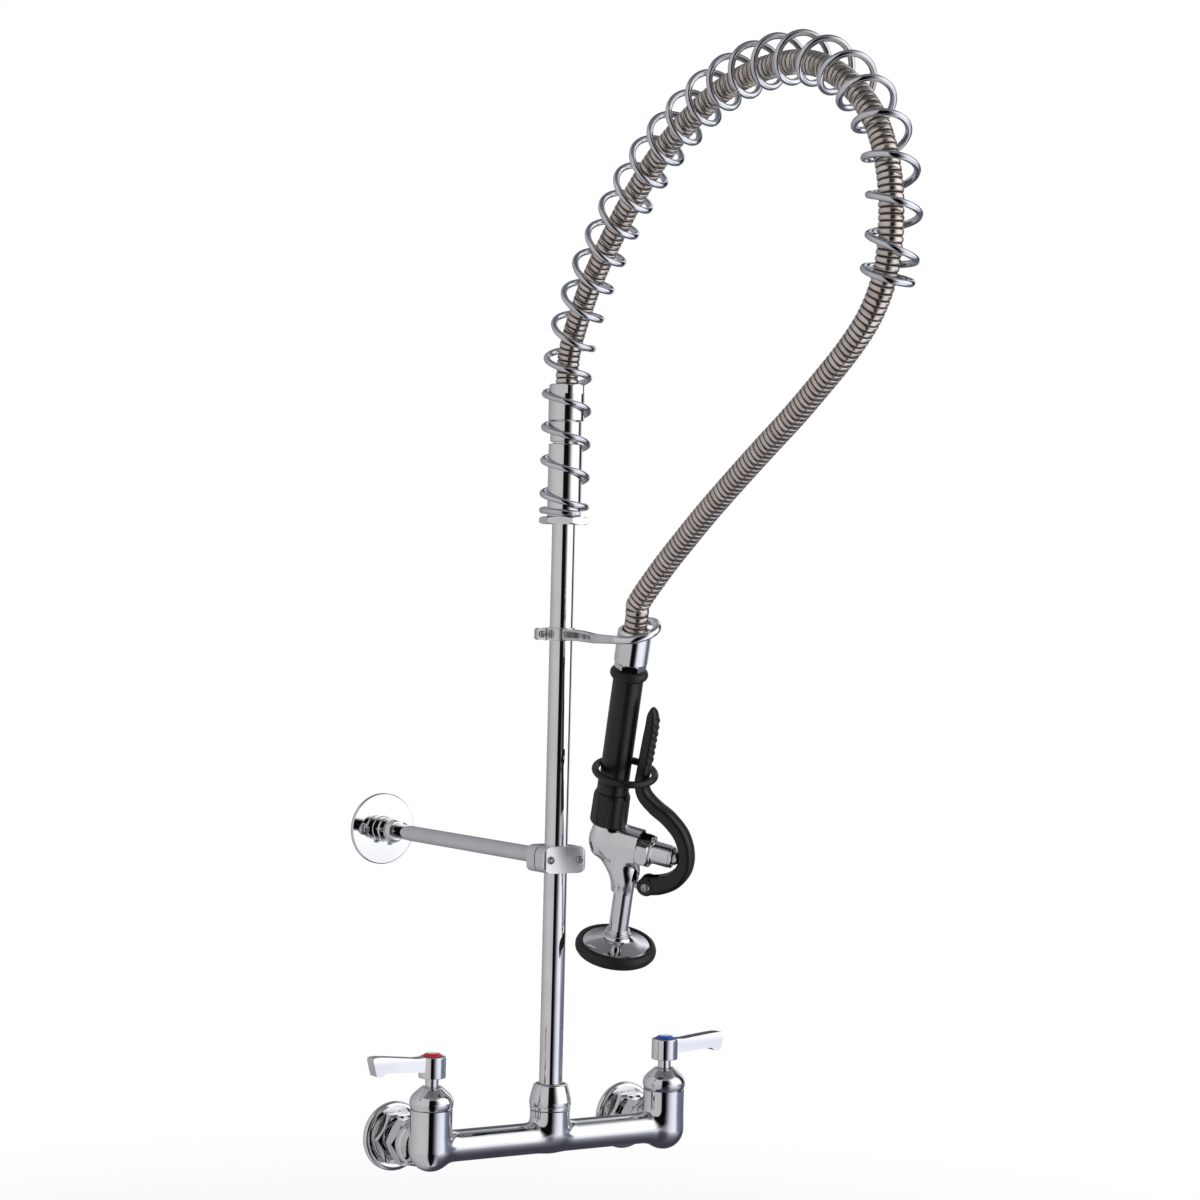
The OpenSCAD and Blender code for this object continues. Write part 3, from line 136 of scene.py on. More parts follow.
def spray_place() -> Matrix:
    """Gives the spray valve's frame: +Z up its axis, +X towards the lever."""
    up = Vector(joint_named("spray_head_turn")["axis"]).normalized()
    lever = -Vector(joint_named("plunger_press")["axis"]).normalized()
    side = up.cross(lever)
    turned_frame = Matrix((lever, side, up)).transposed().to_4x4()
    return Matrix.Translation(Vector(joint_named("spray_head_turn")["pos_m"]) / MM) @ turned_frame


def span(node: str, place: Matrix) -> tuple[Vector, Vector]:
    """Measures a CAD node in a local frame.

    Args:
        node: Name of the CAD node.
        place: The local frame, in mm.

    Returns:
        The node's lowest and highest corner in that frame, in mm.
    """
    inverse = np.array(place.inverted())
    local = vertex_array(frame["nodes"][node]) / MM @ inverse[:3, :3].T + inverse[:3, 3]
    return Vector(local.min(0)), Vector(local.max(0))


# ---- outlines
def eased(corners: Outline, ease: float = 0.4, steps: int = 3, closed: bool = False) -> list[Corner]:
    """Rounds the corners of an outline with arcs.

    Args:
        corners: Points of the outline; a third number is that corner's own radius.
        ease: Radius of the corners that name none.
        steps: Number of chords in each arc.
        closed: Whether the last point joins the first.

    Returns:
        The outline's points with an arc at each corner.
    """
    made: list[Corner] = []
    count = len(corners)
    for i, corner in enumerate(corners):
        here = complex(*corner[:2])
        radius = corner[2] if len(corner) > 2 else ease
        back = complex(*corners[i - 1][:2]) - here
        ahead = complex(*corners[(i + 1) % count][:2]) - here
        half = abs(cmath.phase(ahead / back)) / 2 if back and ahead else pi / 2
        if radius == 0 or half > 1.55 or (not closed and i in (0, count - 1)):
            made.append((here.real, here.imag))
            continue
        reach = min(radius / tan(half), 0.48 * abs(back), 0.48 * abs(ahead))
        start = back / abs(back)
        bisector = start + ahead / abs(ahead)
        centre = here + bisector / abs(bisector) * (reach / cos(half))
        first = here + start * reach - centre
        turn = cmath.phase((here + ahead / abs(ahead) * reach - centre) / first)
        for k in range(steps + 1):
            point = centre + first * cmath.rect(1, turn * k / steps)
            made.append((point.real, point.imag))
    return made


def arc(x: float, y: float, radius: float, start: float, end: float, steps: int = 10) -> list[Corner]:
    """Gives the points of an arc, from start to end in degrees."""
    angles = [radians(start + (end - start) * k / steps) for k in range(steps + 1)]
    return [(x + radius * cos(a), y + radius * sin(a)) for a in angles]


def rectangle(low_x: float, low_y: float, high_x: float, high_y: float) -> list[Corner]:
    """Gives the corners of a rectangle by two opposite ones."""
    return [(low_x, low_y), (high_x, low_y), (high_x, high_y), (low_x, high_y)]


def smooth_line(points: Sequence[Sequence[float]], steps: int) -> list[Vector]:
    """Runs a Catmull-Rom curve through points, as the CAD source does for the hose.

    Args:
        points: The points that the curve passes through.
        steps: Number of chords between two of them.

    Returns:
        The points along the curve, the ends included.
    """
    known = np.array(points, float)
    last = len(known) - 1
    made = []
    for i in range(last):
        a, b, c, d = (known[min(max(j, 0), last)] for j in (i - 1, i, i + 1, i + 2))
        for k in range(steps):
            t = k / steps
            made.append(0.5 * (2 * b + (c - a) * t + (2 * a - 5 * b + 4 * c - d) * t**2
                               + (3 * b - a - 3 * c + d) * t**3))
    return [Vector(p) for p in (*made, known[last])]


class Track:
    """A smooth line that can be read at any distance along it."""

    def __init__(self, points: Sequence[Sequence[float]]) -> None:
        """Measures the line once."""
        self.points = np.array([list(p) for p in points], float)
        steps = np.linalg.norm(np.diff(self.points, axis=0), axis=1)
        self.marks = np.concatenate([[0.0], np.cumsum(steps)])
        self.length = float(self.marks[-1])

    def at(self, s: float) -> Vector:
        """Gives the point at distance s."""
        return Vector([float(np.interp(s, self.marks, self.points[:, k])) for k in range(3)])

    def heading(self, s: float, reach: float = 1.5) -> Vector:
        """Gives the direction of travel at distance s."""
        return (self.at(min(s + reach, self.length)) - self.at(max(s - reach, 0))).normalized()


# ---- bench
def only(obj: Piece) -> None:
    """Makes one object the only one that operators act on."""
    bpy.ops.object.select_all(action="DESELECT")
    obj.select_set(True)
    bpy.context.view_layer.objects.active = obj


@contextmanager
def editing(obj: Piece) -> Iterator[bmesh.types.BMesh]:
    """Opens an object in edit mode with nothing selected, and closes it again.

    Args:
        obj: The object.

    Yields:
        Its mesh, open for editing.
    """
    only(obj)
    bpy.ops.object.mode_set(mode="EDIT")
    bpy.ops.mesh.select_all(action="DESELECT")
    try:
        yield bmesh.from_edit_mesh(obj.data)
    finally:
        bpy.ops.object.mode_set(mode="OBJECT")


def newest(name: str) -> Piece:
    """Names the primitive that was just added, and its mesh."""
    obj = bpy.context.object
    obj.name = obj.data.name = name
    return obj


def cleaned(obj: Piece, reach: float = 0.002) -> Piece:
    """Merges doubles, drops what belongs to no face and points the faces outwards.

    Args:
        obj: The piece.
        reach: Distance up to which its vertices merge.

    Returns:
        The same object.
    """
    with editing(obj):
        bpy.ops.mesh.select_all(action="SELECT")
        bpy.ops.mesh.remove_doubles(threshold=reach)
        bpy.ops.mesh.delete_loose()
        bpy.ops.mesh.select_all(action="SELECT")
        bpy.ops.mesh.normals_make_consistent(inside=False)
    return obj


def modified(obj: Piece, kind: str, **settings: object) -> Piece:
    """Adds a modifier with its settings and applies it.

    Args:
        obj: The piece.
        kind: Blender's name of the modifier type.
        settings: Properties of the modifier.

    Returns:
        The same object.
    """
    only(obj)
    modifier = obj.modifiers.new(kind.lower(), kind)
    for key, value in settings.items():
        setattr(modifier, key, value)
    bpy.ops.object.modifier_apply(modifier=modifier.name)
    return obj


def bevelled(obj: Piece, width: float, segments: int = 2, angle: float = 35) -> Piece:
    """Rounds the edges that are sharper than an angle in degrees."""
    return modified(obj, "BEVEL", width=width, segments=segments, limit_method="ANGLE",
                    angle_limit=radians(angle), miter_outer="MITER_ARC", harden_normals=False)


def combined(obj: Piece, tool: Piece, how: Union) -> Piece:
    """Combines a solid with another, which is used up."""
    modified(obj, "BOOLEAN", object=tool, operation=how.value, solver="EXACT")
    bpy.data.objects.remove(tool)
    return obj


def loop(name: str, points: Iterable[Sequence[float]], filled: bool = False) -> Piece:
    """Moves a circle's vertices onto the points of an outline.

    Args:
        name: Name of the new object.
        points: Points of the outline.
        filled: Whether a face fills it.

    Returns:
        The outline as a mesh.
    """
    places = [Vector(p) for p in points]
    bpy.ops.object.select_all(action="DESELECT")
    bpy.ops.mesh.primitive_circle_add(vertices=len(places), fill_type="NGON" if filled else "NOTHING")
    obj = newest(name)
    for vertex, place in zip(obj.data.vertices, places):
        vertex.co = place
    return obj


def turned(name: str, outline: Outline, sides: int = 96, ring: bool = True) -> Piece:
    """Spins an outline round the local Z axis.

    Args:
        name: Name of the piece.
        outline: Its points as radius and height.
        sides: Number of steps round the axis.
        ring: Whether the outline closes on itself and so leaves a bore.

    Returns:
        The turned solid, in mm about the origin.
    """
    obj = loop(name, [(r, 0, z) for r, z, *_ in outline])
    with editing(obj) as mesh:
        if not ring:
            mesh.verts.ensure_lookup_table()
            ends = {mesh.verts[0], mesh.verts[len(outline) - 1]}
            closing = next(e for e in mesh.edges if set(e.verts) == ends)
            closing.select_set(True)
            bmesh.update_edit_mesh(obj.data)
            bpy.ops.mesh.delete(type="EDGE")
        bpy.ops.mesh.select_all(action="SELECT")
        bpy.ops.mesh.spin(steps=sides, angle=TURN, center=(0, 0, 0), axis=(0, 0, 1))
    return cleaned(obj)


def turned_eased(name: str, corners: Outline, ring: bool = True, sides: int = 96,
                 steps: int = 3) -> Piece:
    """Spins an outline whose corners are rounded first."""
    return turned(name, eased(corners, steps=steps, closed=ring), sides, ring)


def prism(name: str, outline: Outline, low: float, high: float) -> Piece:
    """Raises a flat outline along local Z from one height to another."""
    obj = loop(name, [(x, y, low) for x, y, *_ in outline], filled=True)
    with editing(obj):
        bpy.ops.mesh.select_all(action="SELECT")
        bpy.ops.mesh.extrude_region_move(TRANSFORM_OT_translate={"value": (0, 0, high - low)})
    return cleaned(obj)


def corner_reach(across_flats: float) -> float:
    """Gives how far a hexagon's corners stand from its axis."""
    return across_flats / 2 / cos(pi / 6)


def hexagon(across_flats: float, turn: float = 0) -> list[Corner]:
    """Gives the corners of a hexagon by its width across flats."""
    reach = corner_reach(across_flats)
    return [(reach * cos(turn + k * pi / 3), reach * sin(turn + k * pi / 3)) for k in range(6)]


def hexed(obj: Piece, across_flats: float, low: float, high: float, ease: float = 0.25,
          turn: float = 0) -> Piece:
    """Mills a turned ring to a hexagon between two heights.

    Args:
        obj: The turned ring.
        across_flats: Width of the hexagon.
        low: Height at which the flats start.
        high: Height at which they end.
        ease: Radius on the new edges.
        turn: Turn of the hexagon about the axis.

    Returns:
        The same object with its flats.
    """
    outside = prism("milling_blank", hexagon(across_flats * 3), low, high)
    inside = prism("milling_core", hexagon(across_flats, turn), low - 1, high + 1)
    combined(outside, inside, Union.CUT)
    combined(obj, outside, Union.CUT)
    return bevelled(cleaned(obj), ease, 2, 20)


def drilled(obj: Piece, radius: float, place: Matrix, length: float, sides: int = 48) -> Piece:
    """Drills a round hole along local Z of a place, from its origin upwards.

    Args:
        obj: The piece.
        radius: Radius of the hole.
        place: Frame of the drill, in mm.
        length: Depth of the hole.
        sides: Number of sides of the drill.

    Returns:
        The same object.
    """
    bpy.ops.object.select_all(action="DESELECT")
    bpy.ops.mesh.primitive_cylinder_add(vertices=sides, radius=radius, depth=length,
                                        location=(0, 0, length / 2))
    drill = newest("drill")
    drill.data.transform(Matrix.Translation(drill.location))
    drill.location = (0, 0, 0)
    drill.data.transform(place)
    return combined(obj, drill, Union.CUT)


def swept(name: str, points: Sequence[Vector], radii: Sequence[float], resolution: int = 6,
          closed: bool = False) -> Piece:
    """Bends a round rod along a line.

    Args:
        name: Name of the piece.
        points: The rod's centreline.
        radii: Its radius at each of those points.
        resolution: Bevel resolution of the curve; the rod has four sides and twice as many more.
        closed: Whether the rod joins itself.

    Returns:
        The rod as a mesh with closed ends.
    """
    curve = bpy.data.curves.new(name, "CURVE")
    curve.dimensions = "3D"
    curve.bevel_depth = 1.0
    curve.bevel_resolution = resolution
    curve.use_fill_caps = not closed
    spline = curve.splines.new("POLY")
    spline.points.add(len(points) - 1)
    spline.use_cyclic_u = closed
    for knot, place, radius in zip(spline.points, points, radii):
        knot.co = (*place, 1)
        knot.radius = radius
    obj = bpy.data.objects.new(name, curve)
    bpy.context.scene.collection.objects.link(obj)
    only(obj)
    bpy.ops.object.convert(target="MESH")
    obj = newest(name)
    return cleaned(obj, 0.0005)


def skinned(name: str, rings: Sequence[Sequence[Vector]]) -> Piece:
    """Stretches a closed skin over cross-sections of equally many points.

    Bridging them one by one in edit mode can pair the wrong corners where a bar bends
    tightly, so the faces are named here.

    Args:
        name: Name of the piece.
        rings: Its cross-sections, in order.

    Returns:
        The piece with closed ends.
    """
    count = len(rings[0])
    sides = [(i * count + k, i * count + (k + 1) % count, (i + 1) * count + (k + 1) % count,
              (i + 1) * count + k) for i in range(len(rings) - 1) for k in range(count)]
    last = (len(rings) - 1) * count
    caps = [tuple(reversed(range(count))), tuple(range(last, last + count))]
    mesh = bpy.data.meshes.new(name)
    mesh.from_pydata([tuple(p) for ring in rings for p in ring], [], sides + caps)
    obj = bpy.data.objects.new(name, mesh)
    bpy.context.scene.collection.objects.link(obj)
    return cleaned(obj)


def oval(half_width: float, half_height: float, square: float, count: int = 28) -> list[Corner]:
    """Gives the points of an oval whose corners fill out as `square` grows past 2.

    Args:
        half_width: Its reach along X.
        half_height: Its reach along Y.
        square: Power of the curve, 2 for an ellipse.
        count: Number of points.

    Returns:
        The points in order.
    """
    made = []
    for k in range(count):
        a = TURN * k / count
        reach = (abs(cos(a)) ** square + abs(sin(a)) ** square) ** (-1 / square)
        made.append((half_width * reach * cos(a), half_height * reach * sin(a)))
    return made


def joined(name: str, parts: Sequence[Piece]) -> Piece:
    """Makes several meshes one object."""
    only(parts[0])
    for part in parts[1:]:
        part.select_set(True)
    bpy.ops.object.join()
    return newest(name)


def sliced(obj: Piece, at: Vector, outward: Vector,
           inside: Callable[[Vector], bool] = lambda co: True) -> Piece:
    """Cuts a solid flat at a plane and drops what lies outwards of it.

    Args:
        obj: The solid.
        at: A point on the plane.
        outward: The side that is dropped.
        inside: Says which vertices belong to the stretch that is cut.

    Returns:
        The same object with a flat end.
    """
    with editing(obj) as mesh:
        for face in mesh.faces:
            face.select_set(all(inside(v.co) for v in face.verts))
        bmesh.update_edit_mesh(obj.data)
        bpy.ops.mesh.bisect(plane_co=at, plane_no=outward, use_fill=True, clear_outer=True)
    return obj


# ---- castings
Distance = Callable[[np.ndarray], np.ndarray]


@dataclass(frozen=True)
class Rod:
    """A rod with round ends, which may taper."""

    start: Corner
    end: Corner
    radius: float
    end_radius: float

    def distance(self, points: np.ndarray) -> np.ndarray:
        """Measures how far points lie outside the rod."""
        first = np.array(self.start, float)
        along = np.array(self.end, float) - first
        share = np.clip((points - first) @ along / (along @ along), 0, 1)
        swell = self.radius + (self.end_radius - self.radius) * share
        return np.linalg.norm(points - first - share[:, None] * along, axis=1) - swell

    def mesh(self) -> Piece:
        """Models the rod.

        Returns:
            The rod with its round ends.
        """
        first, last = Vector(self.start), Vector(self.end)
        ahead = (last - first).normalized()
        angles = [pi / 2 * k / 6 for k in range(6)]
        line = [first - ahead * self.radius * cos(a) for a in angles] + [first, last]
        line += [last + ahead * self.end_radius * sin(a) for a in angles[1:]]
        radii = [max(self.radius * sin(a), 0.4) for a in angles] + [self.radius, self.end_radius]
        radii += [self.end_radius * cos(a) for a in angles[1:]]
        return swept("rod", line, radii, 10)


@dataclass(frozen=True)
class Block:
    """A block with rounded edges."""

    middle: Corner
    half: Corner
    ease: float

    def distance(self, points: np.ndarray) -> np.ndarray:
        """Measures how far points lie outside the block."""
        beyond = np.abs(points - np.array(self.middle)) - (np.array(self.half) - self.ease)
        return np.linalg.norm(np.maximum(beyond, 0), axis=1) + np.minimum(beyond.max(1), 0) - self.ease

    def mesh(self) -> Piece:
        """Models the block."""
        (x, y, z), (a, b, c) = self.middle, self.half
        block = prism("block", rectangle(x - a, y - b, x + a, y + b), z - c, z + c)
        return bevelled(block, self.ease, 3)


def flowing(shapes: Sequence[np.ndarray], reach: float) -> np.ndarray:
    """Joins distances with a fillet of about that reach, as a foundry pattern's are."""
    made = shapes[0]
    for shape in shapes[1:]:
        near = np.maximum(reach - np.abs(made - shape), 0) / reach
        made = np.minimum(made, shape) - near**3 * reach / 6
    return made


def slope(distance: Distance, points: np.ndarray, step: float = 0.02) -> np.ndarray:
    """Gives the direction in which a distance grows.

    Args:
        distance: The distance that is measured.
        points: Where it is measured.
        step: Half the stretch it is measured over.

    Returns:
        A unit vector for each point.
    """
    made = np.empty_like(points)
    for axis in range(3):
        move = np.zeros(3)
        move[axis] = step
        made[:, axis] = distance(points + move) - distance(points - move)
    return made / np.maximum(np.linalg.norm(made, axis=1), 1e-9)[:, None]


def vertex_array(obj: Piece) -> np.ndarray:
    """Reads a mesh's vertices."""
    flat = np.empty(len(obj.data.vertices) * 3)
    obj.data.vertices.foreach_get("co", flat)
    return flat.reshape(-1, 3)


@dataclass(frozen=True)
class Casting:
    """Shapes that flow into each other with foundry fillets."""

    name: str
    shapes: tuple[Rod | Block, ...]
    fillet: float
    voxel: float

    def distance(self, points: np.ndarray) -> np.ndarray:
        """Measures how far points lie outside the casting."""
        return flowing([shape.distance(points) for shape in self.shapes], self.fillet)

    def mesh(self) -> Piece:
        """Melts the shapes together and draws the skin onto the flowing surface.

        Returns:
            The casting, in mm.
        """
        obj = joined(self.name, [shape.mesh() for shape in self.shapes])
        modified(obj, "REMESH", mode="VOXEL", voxel_size=self.voxel)
        for even_out in (4, 3, 2, 0):
            if even_out:
                modified(obj, "SMOOTH", factor=0.5, iterations=even_out)
            points = vertex_array(obj)
            for _ in range(3):
                points -= self.distance(points)[:, None] * slope(self.distance, points)
            obj.data.vertices.foreach_set("co", points.ravel())
        return obj


def polished(obj: Piece, place: Matrix, distance: Distance) -> Piece:
    """Shades a casting by its true surface, so that a mirror finish shows no facets.

    Args:
        obj: The casting in its place, in metres.
        place: Its frame in the part, in mm.
        distance: Measures how far points lie outside its true surface.

    Returns:
        The same object.
    """
    mesh = obj.data
    inverse = np.array((Matrix.Scale(MM, 4) @ place).inverted())
    turn = np.array(place.to_3x3())
    local = vertex_array(obj) @ inverse[:3, :3].T + inverse[:3, 3]
    on_surface = np.abs(distance(local)) < 0.03
    true = slope(distance, local) @ turn.T
    corners = np.empty(len(mesh.loops), int)
    mesh.loops.foreach_get("vertex_index", corners)
    normals = np.empty(len(mesh.loops) * 3)
    mesh.corner_normals.foreach_get("vector", normals)
    normals = normals.reshape(-1, 3)
    faces = np.repeat([list(face.normal) for face in mesh.polygons],
                      [face.loop_total for face in mesh.polygons], axis=0)
    follows = on_surface[corners] & ((faces * true[corners]).sum(1) > 0.9)
    mesh.normals_split_custom_set(np.where(follows[:, None], true[corners], normals))
    return obj


def placed(obj: Piece, place: Matrix, crease: float = CREASE) -> Piece:
    """Puts a finished piece in its place and shades it.

    Args:
        obj: The piece, in mm about the origin.
        place: Its frame in the part, in mm.
        crease: Angle from which an edge stays sharp.

    Returns:
        The piece in metres, with its place in its mesh.
    """
    obj.data.transform(Matrix.Scale(MM, 4) @ place)
    only(obj)
    bpy.ops.object.shade_smooth_by_angle(angle=crease)
    return modified(obj, "WEIGHTED_NORMAL", keep_sharp=True, weight=50)


# ---- finishes
# Size of the patches in which a finish's colour drifts, in mm
PATCH = 28.0


def paint(code: str) -> tuple[float, float, float, float]:
    """Turns an sRGB hex colour to the linear values that shaders take."""
    parts = [int(code[i:i + 2], 16) / 255 for i in (1, 3, 5)]
    linear = [p / 12.92 if p <= 0.04045 else ((p + 0.055) / 1.055) ** 2.4 for p in parts]
    return (*linear, 1.0)


def add(tree: Tree, kind: str, inputs: dict[str | int, object] | None = None,
        **settings: object) -> bpy.types.Node:
    """Adds a node with its settings and links.

    Args:
        tree: The tree that gets the node.
        kind: Blender's name of the node type, without its ShaderNode.
        inputs: Value of each input, or the output socket that feeds it.
        settings: Properties of the node.

    Returns:
        The new node.
    """
    node = tree.nodes.new("ShaderNode" + kind)
    for key, value in settings.items():
        setattr(node, key, value)
    for key, value in (inputs or {}).items():
        if isinstance(value, Socket):
            tree.links.new(value, node.inputs[key])
        else:
            node.inputs[key].default_value = value
    return node


def ramp(tree: Tree, source: Socket, stops: Sequence[tuple[float, str]]) -> Socket:
    """Adds a colour ramp from positions and sRGB hex colours, and gives its colour.

    Args:
        tree: The tree that gets the ramp.
        source: Socket that drives it.
        stops: Position and colour of each stop.

    Returns:
        The ramp's colour socket.
    """
    node = add(tree, "ValToRGB", {"Fac": source})
    elements = node.color_ramp.elements
    for position, code in stops[2:]:
        elements.new(position)
    for element, (position, code) in zip(elements, stops):
        element.position = position
        element.color = paint(code)
    return node.outputs["Color"]


def new_material(name: str) -> tuple[bpy.types.Material, Tree, Socket]:
    """Starts an empty node material and gives its output's surface socket."""
    material = bpy.data.materials.new(name)
    material.use_nodes = True
    tree = material.node_tree
    tree.nodes.clear()
    return material, tree, add(tree, "OutputMaterial").inputs["Surface"]


@dataclass(frozen=True)
class Finish:
    """A surface described by its base colour, its gloss and the marks of how it was made.

    The grain is a noise whose size is given in mm; it varies roughness and height, and a
    wider noise varies the colour.
    """

    name: str
    slot: str
    light: str
    dark: str
    metal: float
    smooth: float
    rough: float
    grain: float
    relief: float
    stretch: tuple[float, float, float] = (1, 1, 1)

    def material(self) -> bpy.types.Material:
        """Gives the material, which is built once."""
        return bpy.data.materials.get(self.name) or self.build()

    def build(self) -> bpy.types.Material:
        """Builds the node tree.

        Returns:
            The new material.
        """
        material, tree, surface = new_material(self.name)
        place = add(tree, "TexCoord").outputs["Object"]
        stretched = add(tree, "Mapping", {"Vector": place, "Scale": self.stretch})
        grain = add(tree, "TexNoise", {
            "Vector": stretched.outputs["Vector"], "Scale": 1 / (self.grain * MM), "Detail": 4.0})
        wide = add(tree, "TexNoise", {"Vector": place, "Scale": 1 / (PATCH * MM), "Detail": 3.0})
        colour = ramp(tree, wide.outputs["Fac"], [(0.35, self.dark), (0.65, self.light)])
        mixed = add(tree, "Math", {0: grain.outputs["Fac"], 1: wide.outputs["Fac"]}, operation="MULTIPLY")
        gloss = self.gloss(tree, place, mixed.outputs[0])
        bump = add(tree, "Bump", {
            "Height": grain.outputs["Fac"], "Strength": 1.0, "Distance": self.relief * MM})
        shader = add(tree, "BsdfPrincipled", {
            "Base Color": colour, "Metallic": self.metal, "Roughness": gloss,
            "Normal": bump.outputs["Normal"]})
        tree.links.new(shader.outputs[0], surface)
        return material

    def gloss(self, tree: Tree, place: Socket, grain: Socket) -> Socket:
        """Gives the roughness, which follows the grain.

        Args:
            tree: The tree of the material.
            place: Socket with the place on the piece, for finishes that vary by it.
            grain: Socket with the height of the grain.

        Returns:
            Socket with the roughness.
        """
        return add(tree, "MapRange", {
            "Value": grain, "From Min": 0.12, "From Max": 0.42,
            "To Min": self.smooth, "To Max": self.rough}).outputs["Result"]


@dataclass(frozen=True)
class HandBuffed(Finish):
    """Plate that the wheel reaches only away from a corner: satin there and bright beyond.

    The corner is in mm, and the plate is bright at the reach from it.
    """

    corner: tuple[float, float, float] = (0, 0, 0)
    near: float = 20.0
    reach: float = 40.0
    bright: float = 0.06

    def gloss(self, tree: Tree, place: Socket, grain: Socket) -> Socket:
        """Gives the satin's roughness near the corner and a low one beyond its reach.

        Args:
            tree: The tree of the material.
            place: Socket with the place on the piece.
            grain: Socket with the height of the grain.

        Returns:
            Socket with the roughness.
        """
        satin = super().gloss(tree, place, grain)
        away = add(tree, "VectorMath", {0: place, 1: [c * MM for c in self.corner]},
                   operation="DISTANCE").outputs["Value"]
        return add(tree, "MapRange", {
            "Value": away, "From Min": self.near * MM, "From Max": self.reach * MM,
            "To Min": satin, "To Max": self.bright}, interpolation_type="SMOOTHSTEP").outputs["Result"]


# Bright nickel-chromium plate over polished brass: a mirror with a faint waviness from
# the buffing wheel and thin patches of wiping haze
CHROME = Finish("chromium_plate_buffed", "chrome_plate", "#E9E9EA", "#E1E1E3", 1.0,
                0.015, 0.04, 9.0, 0.0015)
# The same plate over a cast blank that was brushed and not buffed: a bright satin sheen
SATIN_CHROME = Finish("chromium_plate_satin", "chrome_plate", "#EDEDEE", "#E4E4E6", 1.0,
                      0.27, 0.33, 5.0, 0.001)
# Plated hard-drawn wire: a little darker, with the die's faint drag
WIRE_CHROME = Finish("chromium_plate_on_wire", "chrome_plate", "#DADBE0", "#CACBD1", 1.0,
                     0.02, 0.05, 7.0, 0.001)
# Zinc-plated steel screws: a duller grey with the fine scratches of a driver
SCREW = Finish("zinc_plated_screw_steel", "screw_steel", "#C9CBCE", "#A9ABAE", 1.0, 0.16, 0.30, 0.6, 0.01)
# Free-machining brass as it leaves the lathe: fine rings that scatter the light
BRASS = Finish("turned_brass", "brass_raw", "#C8A35A", "#AE8843", 1.0, 0.22, 0.36, 0.4, 0.01, (1, 1, 8))
# Glass-filled nylon, injection moulded with a satin texture: black with soft highlights
NYLON = Finish("moulded_satin_nylon", "black_polymer", "#0B0A09", "#080807", 0.0, 0.30, 0.40, 0.35, 0.02)
# Compression-moulded EPDM rubber: deep black with a dull bloom
RUBBER = Finish("moulded_rubber", "black_rubber", "#0D0C0B", "#090908", 0.0, 0.42, 0.56, 0.5, 0.03)
# Injection-moulded acetal: an even colour with a soft gloss
RED = Finish("red_acetal_cap", "red_cap", "#B01F2B", "#9E1A25", 0.0, 0.18, 0.28, 0.6, 0.006)
# The plain pale insert in the middle of each cap
BLANK = Finish("pale_acetal_insert", "chrome_plate", "#EFEFEC", "#E2E2DE", 0.0, 0.20, 0.32, 0.6, 0.006)
BLUE = Finish("blue_acetal_cap", "blue_cap", "#1C4C9E", "#17418A", 0.0, 0.18, 0.28, 0.6, 0.006)


def dressed(obj: Piece, finish: Finish) -> Piece:
    """Gives an object one finish all over."""
    obj.data.materials.clear()
    obj.data.materials.append(finish.material())
    return obj


def mounted(obj: Piece, finish: Finish, body: str, *nodes: str) -> None:
    """Dresses a finished piece, fixes it to its body and lets it stand for its CAD node.

    Args:
        obj: The piece in its place, in metres.
        finish: Its finish, whose material it gets.
        body: Name of the body that carries it.
        nodes: Names of the CAD nodes that it replaces.
    """
    dressed(obj, finish)
    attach(obj, body)
    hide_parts(*nodes)
    log.info("%s on %s stands for %s", obj.name, body, ", ".join(nodes))


class Group:
    """Pieces of the faucet that share one frame, in which their sizes are given."""

    place: Matrix
    body: str = "faucet"

    def span(self, node: str) -> tuple[Vector, Vector]:
        """Measures a CAD node in the group's frame, in mm."""
        return span(node, self.place)

    def fitted(self, obj: Piece, node: str, finish: Finish = CHROME, body: str = "",
               crease: float = CREASE) -> None:
        """Puts a modelled piece in its place, dresses it and mounts it.

        Args:
            obj: The piece, in mm in the group's frame.
            node: Name of the CAD node that it replaces.
            finish: Its finish.
            body: Name of the body that carries it, where that isn't the group's own.
            crease: Angle from which an edge stays sharp.
        """
        mounted(placed(obj, self.place, crease), finish, body or self.body, node)


# ---- studio
# Cards that the metal mirrors: azimuth in degrees, 0 behind the camera and growing to its
# right, and sRGB colour; level with the faucet, below it and towards the floor
LEVEL_CARDS = ((-180, "#505054"), (-166, "#88888B"), (-150, "#8E8E91"), (-116, "#9C9D9F"), (-85, "#AFAFB1"),
               (-50, "#B6B5B6"), (-14, "#B2B1B2"), (-9, "#0C0B0B"), (20, "#0C0B0B"), (30, "#5C5854"),
               (40, "#BDB7B5"), (50, "#F4F1F4"), (60, "#FFFFFF"), (105, "#FFFFFF"), (114, "#8A8C94"),
               (122, "#1C1B1E"), (140, "#1C1B1E"), (152, "#E8EAF0"), (163, "#B0B0B6"), (171, "#505054"),
               (180, "#505054"))
LOW_CARDS = ((-180, "#6A6A6E"), (-150, "#8A898C"), (-116, "#A0A0A1"), (-85, "#AEACAD"), (-50, "#B6B4B5"),
             (-14, "#B0AEAF"), (-9, "#060505"), (12, "#090708"), (20, "#54515C"), (30, "#94929F"),
             (41, "#C3C6CE"), (53, "#D7DBE4"), (66, "#E5E7F0"), (78, "#D7DAE6"), (86, "#8E93A6"),
             (95, "#6C7386"), (125, "#5E6470"), (180, "#6A6A6E"))
FLOOR_CARDS = ((-180, "#66666A"), (-140, "#908F92"), (-90, "#A9A8AB"), (-20, "#AEACAE"), (-10, "#2A2828"),
               (-6, "#0A0808"), (20, "#0C0A0C"), (32, "#7A7A84"), (46, "#E0E1E8"), (80, "#F0F1F8"),
               (103, "#C8CCD8"), (118, "#5A5E6A"), (150, "#58585E"), (180, "#66666A"))
